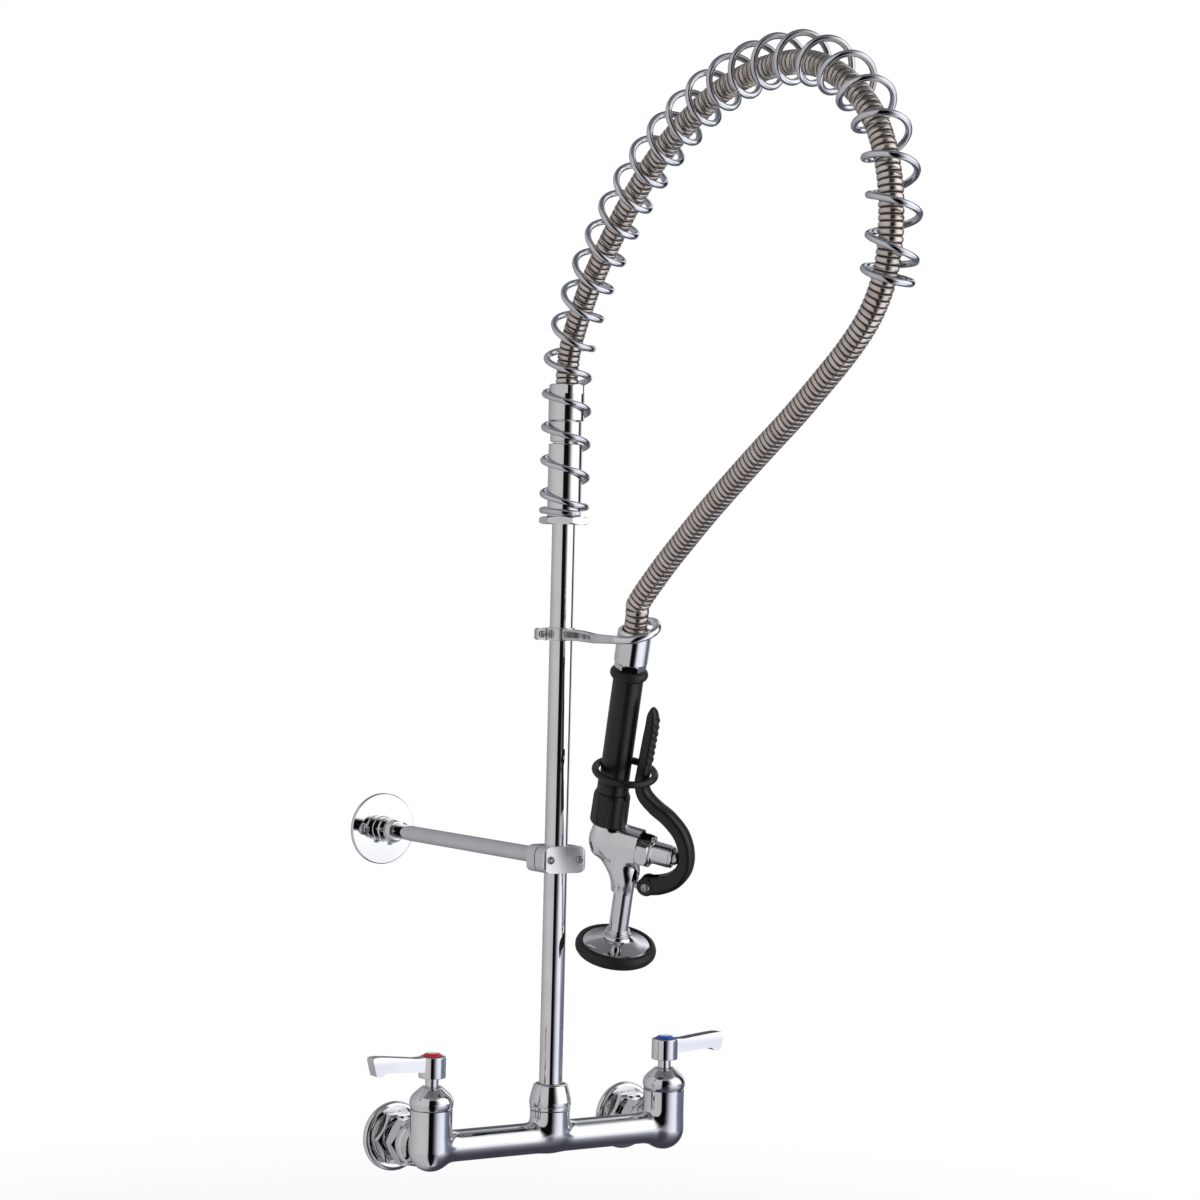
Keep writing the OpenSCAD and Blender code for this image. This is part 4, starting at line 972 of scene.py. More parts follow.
# Elevation and colour of what lies overhead
CEILING = ((-90, "#F4F6F6"), (30, "#F4F6F6"), (45, "#B4B9BC"), (54, "#707277"), (90, "#56565B"))


@dataclass
class Studio:
    """The camera, the pale floor, the soft lights and the shell that metal mirrors."""

    eye: Vector = field(default_factory=lambda: Vector((-1269.7, -2042.1, 431.2)) * MM)
    right: Vector = field(default_factory=lambda: Vector((0.83621, -0.54789, 0.02371)))
    up: Vector = field(default_factory=lambda: Vector((-0.01199, 0.02496, 0.99962)))
    lens: float = 95.96
    sensor: float = 36.0
    middle: Vector = field(default_factory=lambda: Vector((0, -0.15, 0.3)))
    shell_radius: float = 3.5
    floor_drop: float = 0.16
    gain: float = 1.35
    card_radius: float = 1.0
    card_drop: float = 0.09

    def build(self) -> None:
        """Sets up everything that isn't part of the object."""
        self.camera()
        self.world()
        self.floor()
        self.shell()
        self.dark_card()
        self.lamps()
        bpy.context.scene.view_settings.view_transform = "Standard"

    def camera(self) -> None:
        """Stands the camera at the viewing angle."""
        data = bpy.data.cameras.new("camera")
        data.lens, data.sensor_width = self.lens, self.sensor
        camera = bpy.data.objects.new("camera", data)
        back = self.right.cross(self.up)
        camera.matrix_world = Matrix.Translation(self.eye) @ Matrix(
            (self.right, self.up, back)).transposed().to_4x4()
        bpy.context.scene.collection.objects.link(camera)
        bpy.context.scene.camera = camera

    def world(self) -> None:
        """Lights all round at a plain level; the background that is seen is white."""
        world = bpy.data.worlds.new("studio_air")
        world.use_nodes = True
        bpy.context.scene.world = world
        tree = world.node_tree
        tree.nodes.clear()
        path = add(tree, "LightPath").outputs
        seen = add(tree, "Math", {0: path["Is Camera Ray"], 1: path["Is Glossy Ray"]},
                   operation="MAXIMUM")
        seen = add(tree, "Math", {0: seen.outputs[0], 1: path["Is Transmission Ray"]},
                   operation="MAXIMUM")
        level = add(tree, "MapRange", {"Value": seen.outputs[0], "To Min": 0.56, "To Max": 1.0})
        light = add(tree, "Background", {"Color": (1, 1, 1, 1), "Strength": level.outputs["Result"]})
        out = add(tree, "OutputWorld")
        tree.links.new(light.outputs[0], out.inputs["Surface"])

    def floor(self) -> None:
        """Lays a white floor under the faucet that keeps only its shadow."""
        bpy.ops.object.select_all(action="DESELECT")
        low = cad_box[0].z - self.floor_drop
        bpy.ops.mesh.primitive_circle_add(vertices=96, radius=9, fill_type="NGON", location=(0, 0, low))
        floor = newest("floor")
        material, tree, surface = new_material("white_floor")
        path = add(tree, "LightPath").outputs
        matte = add(tree, "BsdfDiffuse", {"Color": paint("#F4F4F4")})
        glow = add(tree, "Emission", {"Color": (1, 1, 1, 1), "Strength": 1.0})
        # Most of what the camera sees is plain white, the rest is the lit floor with its
        # shadow; farther off the floor is white altogether
        place = add(tree, "TexCoord").outputs["Object"]
        far = add(tree, "VectorMath", {0: place}, operation="LENGTH")
        white = add(tree, "MapRange", {
            "Value": far.outputs["Value"], "From Min": 0.3, "From Max": 1.1, "To Min": 0.7, "To Max": 1.0},
            interpolation_type="SMOOTHSTEP")
        share = add(tree, "Math", {0: path["Is Camera Ray"], 1: white.outputs["Result"]},
                    operation="MULTIPLY")
        mix = add(tree, "MixShader", {0: share.outputs[0], 1: matte.outputs[0], 2: glow.outputs[0]})
        tree.links.new(mix.outputs[0], surface)
        floor.data.materials.append(material)
        floor.visible_glossy = False

    def shell(self) -> None:
        """Surrounds the faucet with the soft boxes and grey cards that only chrome mirrors."""
        bpy.ops.object.select_all(action="DESELECT")
        bpy.ops.mesh.primitive_uv_sphere_add(segments=64, ring_count=32, radius=self.shell_radius,
                                             location=self.middle)
        shell = newest("studio_shell")
        bpy.ops.object.shade_smooth()
        material, tree, surface = new_material("studio_cards")
        place = add(tree, "TexCoord").outputs["Object"]
        axis = atan2(self.right.y, self.right.x)
        turned_place = add(tree, "VectorRotate", {"Vector": place, "Angle": -axis},
                           rotation_type="Z_AXIS")
        unit = add(tree, "VectorMath", {0: turned_place.outputs[0]}, operation="NORMALIZE")
        parts = add(tree, "SeparateXYZ", {0: unit.outputs[0]}).outputs
        front = add(tree, "Math", {0: parts["Y"], 1: -1.0}, operation="MULTIPLY")
        angle = add(tree, "Math", {0: parts["X"], 1: front.outputs[0]}, operation="ARCTAN2")
        round_share = add(tree, "MapRange", {"Value": angle.outputs[0], "From Min": -pi, "From Max": pi})
        height = add(tree, "Math", {0: parts["Z"]}, operation="ARCSINE")
        high_share = add(tree, "MapRange", {
            "Value": height.outputs[0], "From Min": -pi / 2, "From Max": pi / 2})
        rings = [ramp(tree, round_share.outputs["Result"],
                      [((turn + 180) / 360, code) for turn, code in stops])
                 for stops in (LEVEL_CARDS, LOW_CARDS, FLOOR_CARDS)]
        ceiling = ramp(tree, high_share.outputs["Result"],
                       [((rise + 90) / 180, code) for rise, code in CEILING])
        colour = rings[0]
        for start, end, other in ((-4, -12, rings[1]), (-14, -27, rings[2]), (36, 58, ceiling)):
            share = add(tree, "MapRange", {
                "Value": height.outputs[0], "From Min": radians(start), "From Max": radians(end)},
                interpolation_type="SMOOTHSTEP")
            colour = add(tree, "Mix", {0: share.outputs["Result"], 6: colour, 7: other},
                         data_type="RGBA").outputs[2]
        glow = add(tree, "Emission", {"Color": colour, "Strength": self.gain})
        tree.links.new(glow.outputs[0], surface)
        material.cycles.emission_sampling = "NONE"
        shell.data.materials.append(material)
        shell.visible_camera = shell.visible_diffuse = shell.visible_shadow = False
        shell.visible_transmission = False

    def dark_card(self) -> None:
        """Lays a dark card under the manifold that only its metal mirrors, soft at its edges."""
        bpy.ops.object.select_all(action="DESELECT")
        low = cad_box[0].z - self.card_drop
        bpy.ops.mesh.primitive_circle_add(vertices=96, radius=self.card_radius, fill_type="NGON",
                                          location=(0.03, -0.05, low))
        card = newest("dark_card")
        material, tree, surface = new_material("dark_cloth")
        place = add(tree, "TexCoord").outputs["Object"]
        squeezed = add(tree, "VectorMath", {0: place, 1: (0.55, 1, 1)}, operation="MULTIPLY")
        far = add(tree, "VectorMath", {0: squeezed.outputs[0]}, operation="LENGTH")
        cover = add(tree, "MapRange", {
            "Value": far.outputs["Value"], "From Min": 0.02, "From Max": 0.55,
            "To Min": 1.0, "To Max": 0.0}, interpolation_type="SMOOTHSTEP")
        across = add(tree, "SeparateXYZ", {0: place}).outputs["X"]
        edge = add(tree, "MapRange", {"Value": across, "From Min": -0.16, "From Max": -0.08},
                   interpolation_type="SMOOTHSTEP")
        both = add(tree, "Math", {0: cover.outputs["Result"], 1: edge.outputs["Result"]},
                   operation="MULTIPLY")
        clear = add(tree, "BsdfTransparent")
        cloth = add(tree, "Emission", {"Color": paint("#3B3A45"), "Strength": self.gain})
        mix = add(tree, "MixShader", {0: both.outputs[0], 1: clear.outputs[0], 2: cloth.outputs[0]})
        tree.links.new(mix.outputs[0], surface)
        material.cycles.emission_sampling = "NONE"
        card.data.materials.append(material)
        card.visible_camera = card.visible_diffuse = card.visible_shadow = False
        card.visible_transmission = False

    def lamps(self) -> None:
        """Hangs two soft boxes, which matte surfaces feel and metal doesn't mirror."""
        for name, place, size, power in (
                ("key_box", Vector((1.6, -2.2, 1.7)), 1.6, 44.0),
                ("fill_box", Vector((-2.4, -1.2, 1.1)), 1.4, 16.0)):
            data = bpy.data.lights.new(name, "AREA")
            data.shape, data.size, data.energy = "DISK", size, power
            lamp = bpy.data.objects.new(name, data)
            aim = (self.middle - place).to_track_quat("-Z", "Y")
            lamp.matrix_world = Matrix.Translation(place) @ aim.to_matrix().to_4x4()
            lamp.visible_glossy = lamp.visible_camera = False
            bpy.context.scene.collection.objects.link(lamp)


# ---- hose and spring
# Route of the hose from the hose nut's top, on the riser's axis, in mm
HOSE_ROUTE = ((0, 0, -9), (0, 0, 0), (0, 0, 9), (0, -4, 28), (0, -14, 48), (0, -27, 69),
              (0, -41, 87), (0, -56, 104), (0, -72, 121), (0, -90, 138), (0, -109, 154),
              (0, -130, 168), (0, -152, 180), (0, -176, 191), (0, -201, 199), (0, -227, 204),
              (0, -253, 206), (0, -279, 205), (0, -304, 199), (0, -327, 188), (0, -346, 174),
              (0, -361, 157), (0, -371, 138), (0, -377, 117), (0, -379, 96), (0, -378, 75),
              (0, -372, 53), (0, -359, 32), (0, -338, 12), (0, -310, -9), (0, -280, -30),
              (0, -249, -50), (0, -217, -71), (0, -186, -92), (0, -157, -113), (-1, -131, -134))
# Heights above the hook's level at which the hose runs straight into the spray valve
HOSE_TAIL = (28, 19, 10, 1)


@dataclass
class SupplyHose:
    """Strip-wound steel hose from the riser to the spray valve."""

    riser: Matrix
    spray: Matrix
    radius: float = 8.5
    pitch: float = 4.44
    groove: float = 1.6
    depth: float = 0.85
    resolution: int = 6

    def __post_init__(self) -> None:
        """Lays the hose's line from the frame's own heights."""
        self.start = self.riser @ Vector((0, 0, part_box("hose_nut")[1].z / MM))
        route = [self.start + Vector(p) for p in HOSE_ROUTE]
        route += [self.spray @ Vector((0, 0, rise)) for rise in HOSE_TAIL]
        self.track = Track(smooth_line(route, 8))

    def profile(self, share: float) -> tuple[float, float]:
        """Gives the radius and the groove's painted shade at a share of one turn of the strip.

        Args:
            share: How far through the turn, from 0 to 1.

        Returns:
            The radius in mm, and 0 on the crown to 1 in the groove.
        """
        away = abs(share - 0.5) * self.pitch
        crown = (self.pitch - self.groove) / 2
        if away > crown:
            k = min(1.0, (away - crown) / (self.groove * 0.28))
            return self.radius - 0.1 - self.depth * k, k
        return self.radius - 0.14 * (away / crown) ** 2.5, 0.0

    def build(self) -> None:
        shares = (0.0, 0.13, 0.2, 0.27, 0.5, 0.73, 0.8, 0.87)
        turns = round(self.track.length / self.pitch)
        step = self.track.length / turns
        stations = [(i + share) * step for i in range(turns) for share in shares]
        stations.append(self.track.length)
        marks = [self.profile(share) for _ in range(turns) for share in shares]
        marks.append(self.profile(0.0))
        hose = swept("ribbed_hose", [self.track.at(s) for s in stations],
                     [radius for radius, _ in marks], self.resolution)
        self.mark_grooves(hose, stations, [dark for _, dark in marks])
        placed(hose, Matrix.Identity(4), radians(75))
        mounted(hose, HOSE_STEEL, "faucet", "hose")
        path = [p * MM for p in (self.track.at(s) for s in np.linspace(0, self.track.length, 300))]

    def mark_grooves(self, hose: Piece, stations: list[float], groove_shade: list[float]) -> None:
        """Writes how deep in a groove each point lies, and how far along, for the finish, which paints
        shade in the grooves.

        Args:
            hose: The swept hose.
            stations: Distances along the line of its rings.
            groove_shade: Each ring's depth in the groove, 0 to 1, which sets the painted shade.
        """
        points = vertex_array(hose)
        centres = np.array([list(self.track.at(s)) for s in stations])
        headings = np.array([list(self.track.heading(s)) for s in stations])
        nearest = np.empty(len(points), int)
        for first in range(0, len(points), 4000):
            gap = points[first:first + 4000, None, :] - centres[None]
            along = np.abs(np.einsum("ijk,jk->ij", gap, headings))
            far = np.linalg.norm(gap, axis=2)
            nearest[first:first + 4000] = np.argmin(np.where(far < self.radius * 1.3, along, 1e3), axis=1)
        for name, values in (("groove", np.array(groove_shade)), ("run", np.array(stations))):
            layer = hose.data.attributes.new(name, "FLOAT", "POINT")
            layer.data.foreach_set("value", values[nearest].astype(np.float32))


@dataclass(frozen=True)
class HoseSteel(Finish):
    """Strip-wound stainless hose: satin crowns, and seams between the turns darkened with painted shade."""

    def build(self) -> bpy.types.Material:
        """Builds the node tree, with painted shade in the seams from the hose's own attribute.

        Returns:
            The new material.
        """
        material, tree, surface = new_material(self.name)
        seam_shade = add(tree, "Attribute", attribute_name="groove").outputs["Fac"]
        run = add(tree, "Attribute", attribute_name="run").outputs["Fac"]
        place = add(tree, "TexCoord").outputs["Object"]
        strip = add(tree, "TexNoise", {"W": run, "Scale": 1 / 9, "Detail": 2.0}, noise_dimensions="1D")
        fine = add(tree, "TexNoise", {"Vector": place, "Scale": 1 / (self.grain * MM), "Detail": 4.0})
        tone = ramp(tree, strip.outputs["Fac"], [(0.3, self.dark), (0.7, self.light)])
        # Painted shade: each seam's colour runs to a near-black brown with its depth in the groove
        colour = add(tree, "Mix", {0: seam_shade, 6: tone, 7: paint("#120D0B")}, data_type="RGBA")
        rough = add(tree, "MapRange", {
            "Value": fine.outputs["Fac"], "From Min": 0.3, "From Max": 0.7,
            "To Min": self.smooth, "To Max": self.rough})
        dull = add(tree, "Math", {0: rough.outputs[0], 1: seam_shade}, operation="MAXIMUM", use_clamp=True)
        bump = add(tree, "Bump", {"Height": fine.outputs["Fac"], "Distance": self.relief * MM})
        shader = add(tree, "BsdfPrincipled", {
            "Base Color": colour.outputs[2], "Metallic": self.metal, "Roughness": dull.outputs[0],
            "Normal": bump.outputs["Normal"]})
        tree.links.new(shader.outputs[0], surface)
        return material


# Cold-rolled stainless strip, wound and brushed in use: warm grey and satin
HOSE_STEEL = HoseSteel("strip_wound_stainless", "hose_steel", "#E2D9D2", "#C9BEB5", 1.0,
                       0.15, 0.26, 0.8, 0.008)


@dataclass
class OverheadSpring:
    """Chromed spring round the barrel and the hose, closed at both ends."""

    hose: SupplyHose
    coil: float = 16.2
    wire: float = 4.7
    turns: int = 28
    end_pitch: float = 5.9
    growth: float = 0.06
    lift: float = 3.0
    lift_start: float = 30.0
    lift_run: float = 140.0
    knot_step: float = 6.0
    upright_gap: float = 11.9
    start_angle: float = -84.0
    end_along: float = 588.0
    steps: int = 44
    resolution: int = 5

    def __post_init__(self) -> None:
        """Lays the spring's own axis, which rises above the hose on the arch."""
        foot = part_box("spring_seat")[1].z / MM + self.wire / 2
        top = self.hose.start.z
        line = self.hose.track
        upright = [Vector((0, self.hose.start.y, z)) for z in
                   np.arange(foot, top - self.upright_gap, self.knot_step)]
        arch = [line.at(s) + self.outward(line.heading(s)) * self.lift
                * self.ease((s - self.lift_start) / self.lift_run)
                for s in np.arange(0, self.end_along + 0.1, self.knot_step)]
        self.axis = Track(upright + arch)

    @staticmethod
    def outward(heading: Vector) -> Vector:
        """Gives the direction away from the arch's middle."""
        return Vector((0, heading.z, -heading.y)).normalized()

    @staticmethod
    def ease(x: float) -> float:
        """Runs smoothly from 0 to 1."""
        share = min(max(x, 0), 1)
        return share * share * (3 - 2 * share)

    def along(self, t: float) -> float:
        """Gives how far along the axis the wire is after t turns.

        Args:
            t: Number of turns.

        Returns:
            The distance from the foot, in mm.
        """
        free = self.axis.length - 2 * self.end_pitch
        if t < 1:
            return self.end_pitch * t
        if t > self.turns - 1:
            return self.axis.length - self.end_pitch * (self.turns - t)
        x = (t - 1) / (self.turns - 2)
        return self.end_pitch + free * ((1 - self.growth) * x + self.growth * x * x)

    def point(self, t: float) -> Vector:
        """Gives the wire's centre after t turns.

        Args:
            t: Number of turns.

        Returns:
            The point in the part, in mm.
        """
        s = self.along(t)
        heading = self.axis.heading(s, 4)
        out = self.outward(heading)
        angle = radians(self.start_angle) - TURN * t
        across = out.cross(heading).normalized()
        return self.axis.at(s) + self.coil * (cos(angle) * across + sin(angle) * out)

    def build(self) -> None:
        """Winds the wire."""
        count = self.steps * self.turns
        wire = swept("wound_spring", [self.point(self.turns * i / count) for i in range(count + 1)],
                     [self.wire / 2] * (count + 1), self.resolution)
        placed(wire, Matrix.Identity(4), radians(60))
        mounted(wire, WIRE_CHROME, "faucet", "overhead_spring")


# ---- fasteners
def cross_screw(name: str, head: float, rise: float, shank: float, length: float) -> Piece:
    """Models a domed screw with a crossed recess.

    Args:
        name: Name of the piece.
        head: Radius of the head.
        rise: Height of the head.
        shank: Radius of the shank.
        length: Length of the shank.

    Returns:
        The screw, its head's underside at the origin and its shank below.
    """
    dome = [(x, y) for x, y in arc(0, 0, 1, 12, 90, 8)]
    outline = [(0, -length), (shank - 0.3, -length), (shank, -length + 0.4), (shank, 0), (head - 0.15, 0),
               *((head * x, rise * y) for x, y in dome[:-1]), (0, rise)]
    screw = turned(name, outline, 40, ring=False)
    blade, slot = head * 0.62, head * 0.13
    for long_way, short_way in ((blade, slot), (slot, blade)):
        bit = prism("bit", rectangle(-long_way, -short_way, long_way, short_way), rise * 0.42, rise * 2)
        combined(screw, bit, Union.CUT)
    return bevelled(cleaned(screw), 0.08, 1, 40)


def straight_tube(name: str, radius: float, bore: float, low: float, high: float) -> Piece:
    """Models a length of tube along local Z with softened ends."""
    return turned_eased(name, [(bore, low, 0.2), (radius, low, 0.4), (radius, high, 0.4),
                               (bore, high, 0.2)], sides=128)


# ---- manifold
@dataclass
class Manifold:
    """Cast and plated body: cross tube, two valve chambers with their tails, the riser's boss."""

    riser: Matrix
    tube_radius: float = 11.5
    chamber_radius: float = 15.4
    chamber_foot: float = 17.0
    rim: float = 27.8
    boss_radius: float = 14.7
    boss_foot: float = 4.5
    boss_top: float = 20.0
    tail_radius: float = 10.5
    tail_end: float = 30.0
    chamber_bore: float = 11.0
    inlet_bore: float = 7.5
    riser_bore: float = PIPE
    fillet: float = 8.0
    overrun: float = 9.0

    def __post_init__(self) -> None:
        """Reads how far the valves stand from the riser."""
        self.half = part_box("faucet_body")[1].x / MM - self.chamber_radius

    def casting(self) -> Casting:
        """Gives the rods that the body is cast from, in the riser's frame.

        Returns:
            The casting, whose distance is its true surface.
        """
        shapes = [Rod((-self.half, 0, 0), (self.half, 0, 0), self.tube_radius, self.tube_radius),
                  Rod((0, 0, self.boss_foot), (0, 0, self.boss_top + self.overrun),
                      self.boss_radius, self.boss_radius)]
        for side in Side:
            x = side.value * self.half
            foot = self.chamber_radius - self.chamber_foot
            shapes.append(Rod((x, 0, foot), (x, 0, self.rim + self.overrun),
                              self.chamber_radius, self.chamber_radius))
            shapes.append(Rod((x, 0, 0), (x, self.tail_end + self.overrun, 0),
                              self.tail_radius, self.tail_radius))
        return Casting("cast_manifold", tuple(shapes), self.fillet, 1.0)

    def build(self) -> None:
        """Casts the body, faces its ends and bores it."""
        casting = self.casting()
        body = casting.mesh()
        reach = self.half - 30
        sliced(body, Vector((0, 0, self.boss_top)), Vector((0, 0, 1)),
               lambda co: abs(co.x) < reach and co.z > self.boss_top - 3)
        drilled(body, self.riser_bore, moved(0, 0, self.boss_top - 6), 20)
        for side in Side:
            self.finish_end(body, side, reach)
        bevelled(body, 0.3, 2, 50)
        placed(body, self.riser, radians(40))
        mounted(polished(body, self.riser, casting.distance), CHROME, "faucet", "faucet_body")

    def finish_end(self, body: Piece, side: Side, reach: float) -> None:
        """Faces and bores one chamber and its tail.

        Args:
            body: The casting.
            side: The side the chamber is on.
            reach: Distance from the riser at which that side's stretch starts.
        """
        x = side.value * self.half
        sliced(body, Vector((x, 0, self.rim)), Vector((0, 0, 1)),
               lambda co: co.x * side.value > reach and co.z > self.rim - 3)
        sliced(body, Vector((x, self.tail_end, 0)), Vector((0, 1, 0)),
               lambda co: co.x * side.value > reach and co.y > self.tail_end - 3)
        drilled(body, self.chamber_bore, moved(x, 0, -6), 60)
        drilled(body, self.inlet_bore, moved(x, 0, 0) @ BACKWARDS, 60)


# ---- valves
@dataclass
class Valve(Group):
    """One valve above its chamber: bonnet, stem, lever handle and index cap."""

    side: Side
    stem_radius: float = 4.9
    skirt_radius: float = 10.9
    hub_radius: float = 9.85
    hub_rise: float = 15.6
    cap_seat: float = 1.6
    cap_radius: float = 6.8
    cap_dome: float = 2.4
    blank_radius: float = 4.0
    blade_width: float = 10.0
    blade_height: float = 10.9

    def __post_init__(self) -> None:
        """Reads the valve's axis and heights from the frame."""
        middle = centre_of(f"{self.side.word}_bonnet")
        self.place = moved(middle.x, middle.y, 0)
        self.body = f"{self.side.word}_valve"
        self.hub_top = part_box(f"{self.side.word}_index_cap")[0].z / MM + self.cap_seat
        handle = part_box(f"{self.side.word}_handle")
        self.reach = max(abs(handle[0].x / MM - middle.x), abs(handle[1].x / MM - middle.x))

    def build(self) -> None:
        """Models and dresses the valve's pieces."""
        self.bonnet()
        self.stem()
        self.handle()
        self.cap()

    def bonnet(self) -> None:
        """Turns the bonnet: a bulge above the joint that sweeps in to the stem."""
        low, high = self.span(f"{self.side.word}_bonnet")
        rim = high.z - 16.8
        sweep = smooth_line([(14.7, 0, 0), (15.5, 1.8, 0), (16.0, 4.6, 0), (15.8, 6.8, 0), (15.1, 8.7, 0),
                             (13.9, 10.5, 0), (12.2, 12.2, 0), (10.3, 13.9, 0), (8.5, 15.5, 0),
                             (7.4, 16.3, 0), (6.4, 16.7, 0)], 5)
        outline = [(self.stem_radius, low.z), (self.skirt_radius, low.z), (self.skirt_radius, rim),
                   *((p.x, rim + p.y) for p in sweep), (5.6, high.z), (self.stem_radius, high.z - 0.6)]
        bonnet = turned(f"{self.side.word}_turned_bonnet", outline, 128)
        self.fitted(bonnet, f"{self.side.word}_bonnet", body="faucet")

    def stem(self) -> None:
        """Turns the stem, a disc at its foot, with the hole for the handle's screw."""
        low, high = self.span(f"{self.side.word}_stem")
        disc, r, hole = high.x, self.stem_radius - 0.05, 2.06
        stem = turned_eased(f"{self.side.word}_turned_stem", [
            (0, low.z), (disc, low.z, 0.3), (disc, low.z + 3.65, 0.3), (r, low.z + 3.65, 0.2),
            (r, high.z, 0.4), (hole, high.z, 0.2), (hole, high.z - 12, 0), (0, high.z - 12, 0)],
            ring=False, sides=80)
        self.fitted(stem, f"{self.side.word}_stem")

    def blade(self) -> Piece:
        """Models the lever's blade with the lip under its tip.

        Returns:
            The blade, which runs into the hub.
        """
        near, far = self.hub_radius - 2, self.reach
        top = self.hub_top
        low = top - self.blade_height
        outline = [(near, low, 0), (near, top - 0.2, 0), (near + 7, top - 0.5, 20),
                   (near + 16, top + 0.5, 25), (far - 13, top + 2.0, 25), (far - 5, top + 2.6, 12),
                   (far, top + 2.1, 2.4), (far - 0.5, top - 1, 1.0), (far - 3.2, low - 0.2, 1.2),
                   (far - 4.4, low - 0.6, 0.8), (far - 8.2, low - 0.4, 1.2), (far - 11.4, low + 1.9, 3),
                   (far - 18, low + 1.7, 12)]
        blade = prism("blade", eased([(self.side.value * x, z, r) for x, z, r in outline], 0.5, 4, True),
                      -self.blade_width / 2, self.blade_width / 2)
        blade.data.transform(FORWARDS)
        # The forging's faces bulge by a quarter of a millimetre
        middle, half, bow = (top + low) / 2 + 0.5, self.blade_width / 2, 72.0
        right = arc(half - bow, middle, bow, -12, 12, 32)
        barrel = prism("barrel", right + [(-y, z) for y, z in reversed(right)], -60, 60)
        barrel.data.transform(Matrix(((0, 0, 1, 0), (1, 0, 0, 0), (0, 1, 0, 0), (0, 0, 0, 1))))
        combined(blade, barrel, Union.COMMON)
        return bevelled(cleaned(blade), 1.2, 4, 30)

    def handle(self) -> None:
        """Joins the blade to its turned hub."""
        low, top, floor = self.hub_top - self.hub_rise, self.hub_top, self.hub_top - self.cap_seat
        seat = self.cap_radius + 0.08
        hub = turned_eased(f"{self.side.word}_lever_handle", [
            (3.0, low, 0), (self.hub_radius, low, 0.7), (self.hub_radius, top, 1.0),
            (seat, top, 0.2), (seat, floor, 0), (3.0, floor, 0)], sides=128)
        combined(hub, self.blade(), Union.ADD)
        drilled(hub, self.stem_radius, moved(0, 0, low - 1), self.hub_rise + 2)
        self.fitted(cleaned(hub), f"{self.side.word}_handle")

    def cap(self) -> None:
        """Turns the index cap: a coloured ring round a pale blank."""
        floor, top = self.hub_top - self.cap_seat, self.hub_top
        r, blank = self.cap_radius, self.blank_radius
        cap = turned(f"{self.side.word}_domed_cap", [
            (0, floor), (r, floor), (r, top + 0.04), (r + 0.3, top + 0.06), (r + 0.35, top + 0.3),
            (r + 0.2, top + 0.8), (r - 0.5, top + 1.4), (r - 1.6, top + 2.0),
            (blank + 0.35, top + self.cap_dome), (blank, top + self.cap_dome - 0.05),
            (blank - 0.1, top + self.cap_dome - 0.25), (blank * 0.5, top + self.cap_dome - 0.1),
            (0, top + self.cap_dome - 0.05)], 96, ring=False)
        self.fitted(cap, f"{self.side.word}_index_cap", RED if self.side is Side.HOT else BLUE,
                    crease=radians(50))
        cap.data.materials.append(BLANK.material())
        middle = self.place.to_translation() * MM
        for face in cap.data.polygons:
            away = hypot(face.center.x - middle.x, face.center.y - middle.y)
            if away < (blank - 0.05) * MM and face.center.z > self.hub_top * MM:
                face.material_index = 1


@dataclass
class Inlet(Group):
    """One supply inlet: the union nut and the wall flange with its fixed hexagon."""

    side: Side
    collar: float = 16.5
    union_flats: float = 33.0
    collar_length: float = 6.0
    fixed_flats: float = 36.0
    hexagon_length: float = 9.0
    bore: float = 7.5
    supply: float = 9.3
    supply_depth: float = 14.0

    def __post_init__(self) -> None:
        """Reads the inlet's axis from the valve above it."""
        middle = centre_of(f"{self.side.word}_bonnet")
        self.place = moved(middle.x, middle.y, 0) @ BACKWARDS

    def build(self) -> None:
        """Models and dresses both pieces."""
        self.union_nut()
        self.flange()

    def union_nut(self) -> None:
        """Turns and mills the nut: a round collar, then a chamfered hexagon."""
        low, high = self.span(f"{self.side.word}_union_nut")
        start = low.z + self.collar_length
        corner = corner_reach(self.union_flats)
        tail, shoulder, seat = 10.6, 12.6, 10.7
        nut = turned_eased(f"{self.side.word}_milled_union_nut", [
            (tail, low.z, 0.2), (self.collar - 1.4, low.z, 0.4), (self.collar, low.z + 1.4, 0.8),
            (self.collar, start - 0.6, 0.5), (self.collar - 0.7, start, 0.2),
            (self.collar, start + 0.2, 0.1), (corner, start + 1.7, 0.2), (corner, high.z - 1.6, 0.2),
            (self.collar, high.z, 0.2), (shoulder, high.z, 0.2), (shoulder, low.z + seat, 0),
            (tail, low.z + seat, 0)], sides=120)
        hexed(nut, self.union_flats, start + 0.05, high.z + 1)
        self.fitted(nut, f"{self.side.word}_union_nut")

    def flange(self) -> None:
        """Turns and mills the wall flange: a dished plate with a bead round its rim."""
        low, high = self.span(f"{self.side.word}_inlet_flange")
        rim, wall = high.x, high.z
        corner = corner_reach(self.fixed_flats)
        start = wall - 15.5
        end = start + self.hexagon_length
        flange = turned_eased(f"{self.side.word}_milled_flange", [
            (self.bore, low.z, 0.2), (12.5, low.z, 0.4), (12.5, start - 0.3, 0.3), (17.8, start, 0.2),
            (corner, start + 1.6, 0.2), (corner, end - 1.6, 0.2), (17.6, end, 0.3), (16.6, end + 0.5, 0.4),
            (16.8, end + 3.2, 1.2), (22.6, end + 2.0, 2.4), (24.7, end + 2.7, 1.6),
            (rim, end + 4.2, 0.8), (rim, wall - 0.3, 0.2), (rim - 0.4, wall, 0.1), (self.supply, wall, 0.3),
            (self.supply, wall - self.supply_depth, 0), (self.bore, wall - self.supply_depth, 0)],
            sides=144)
        hexed(flange, self.fixed_flats, start - 0.2, end + 0.3)
        self.fitted(flange, f"{self.side.word}_inlet_flange")


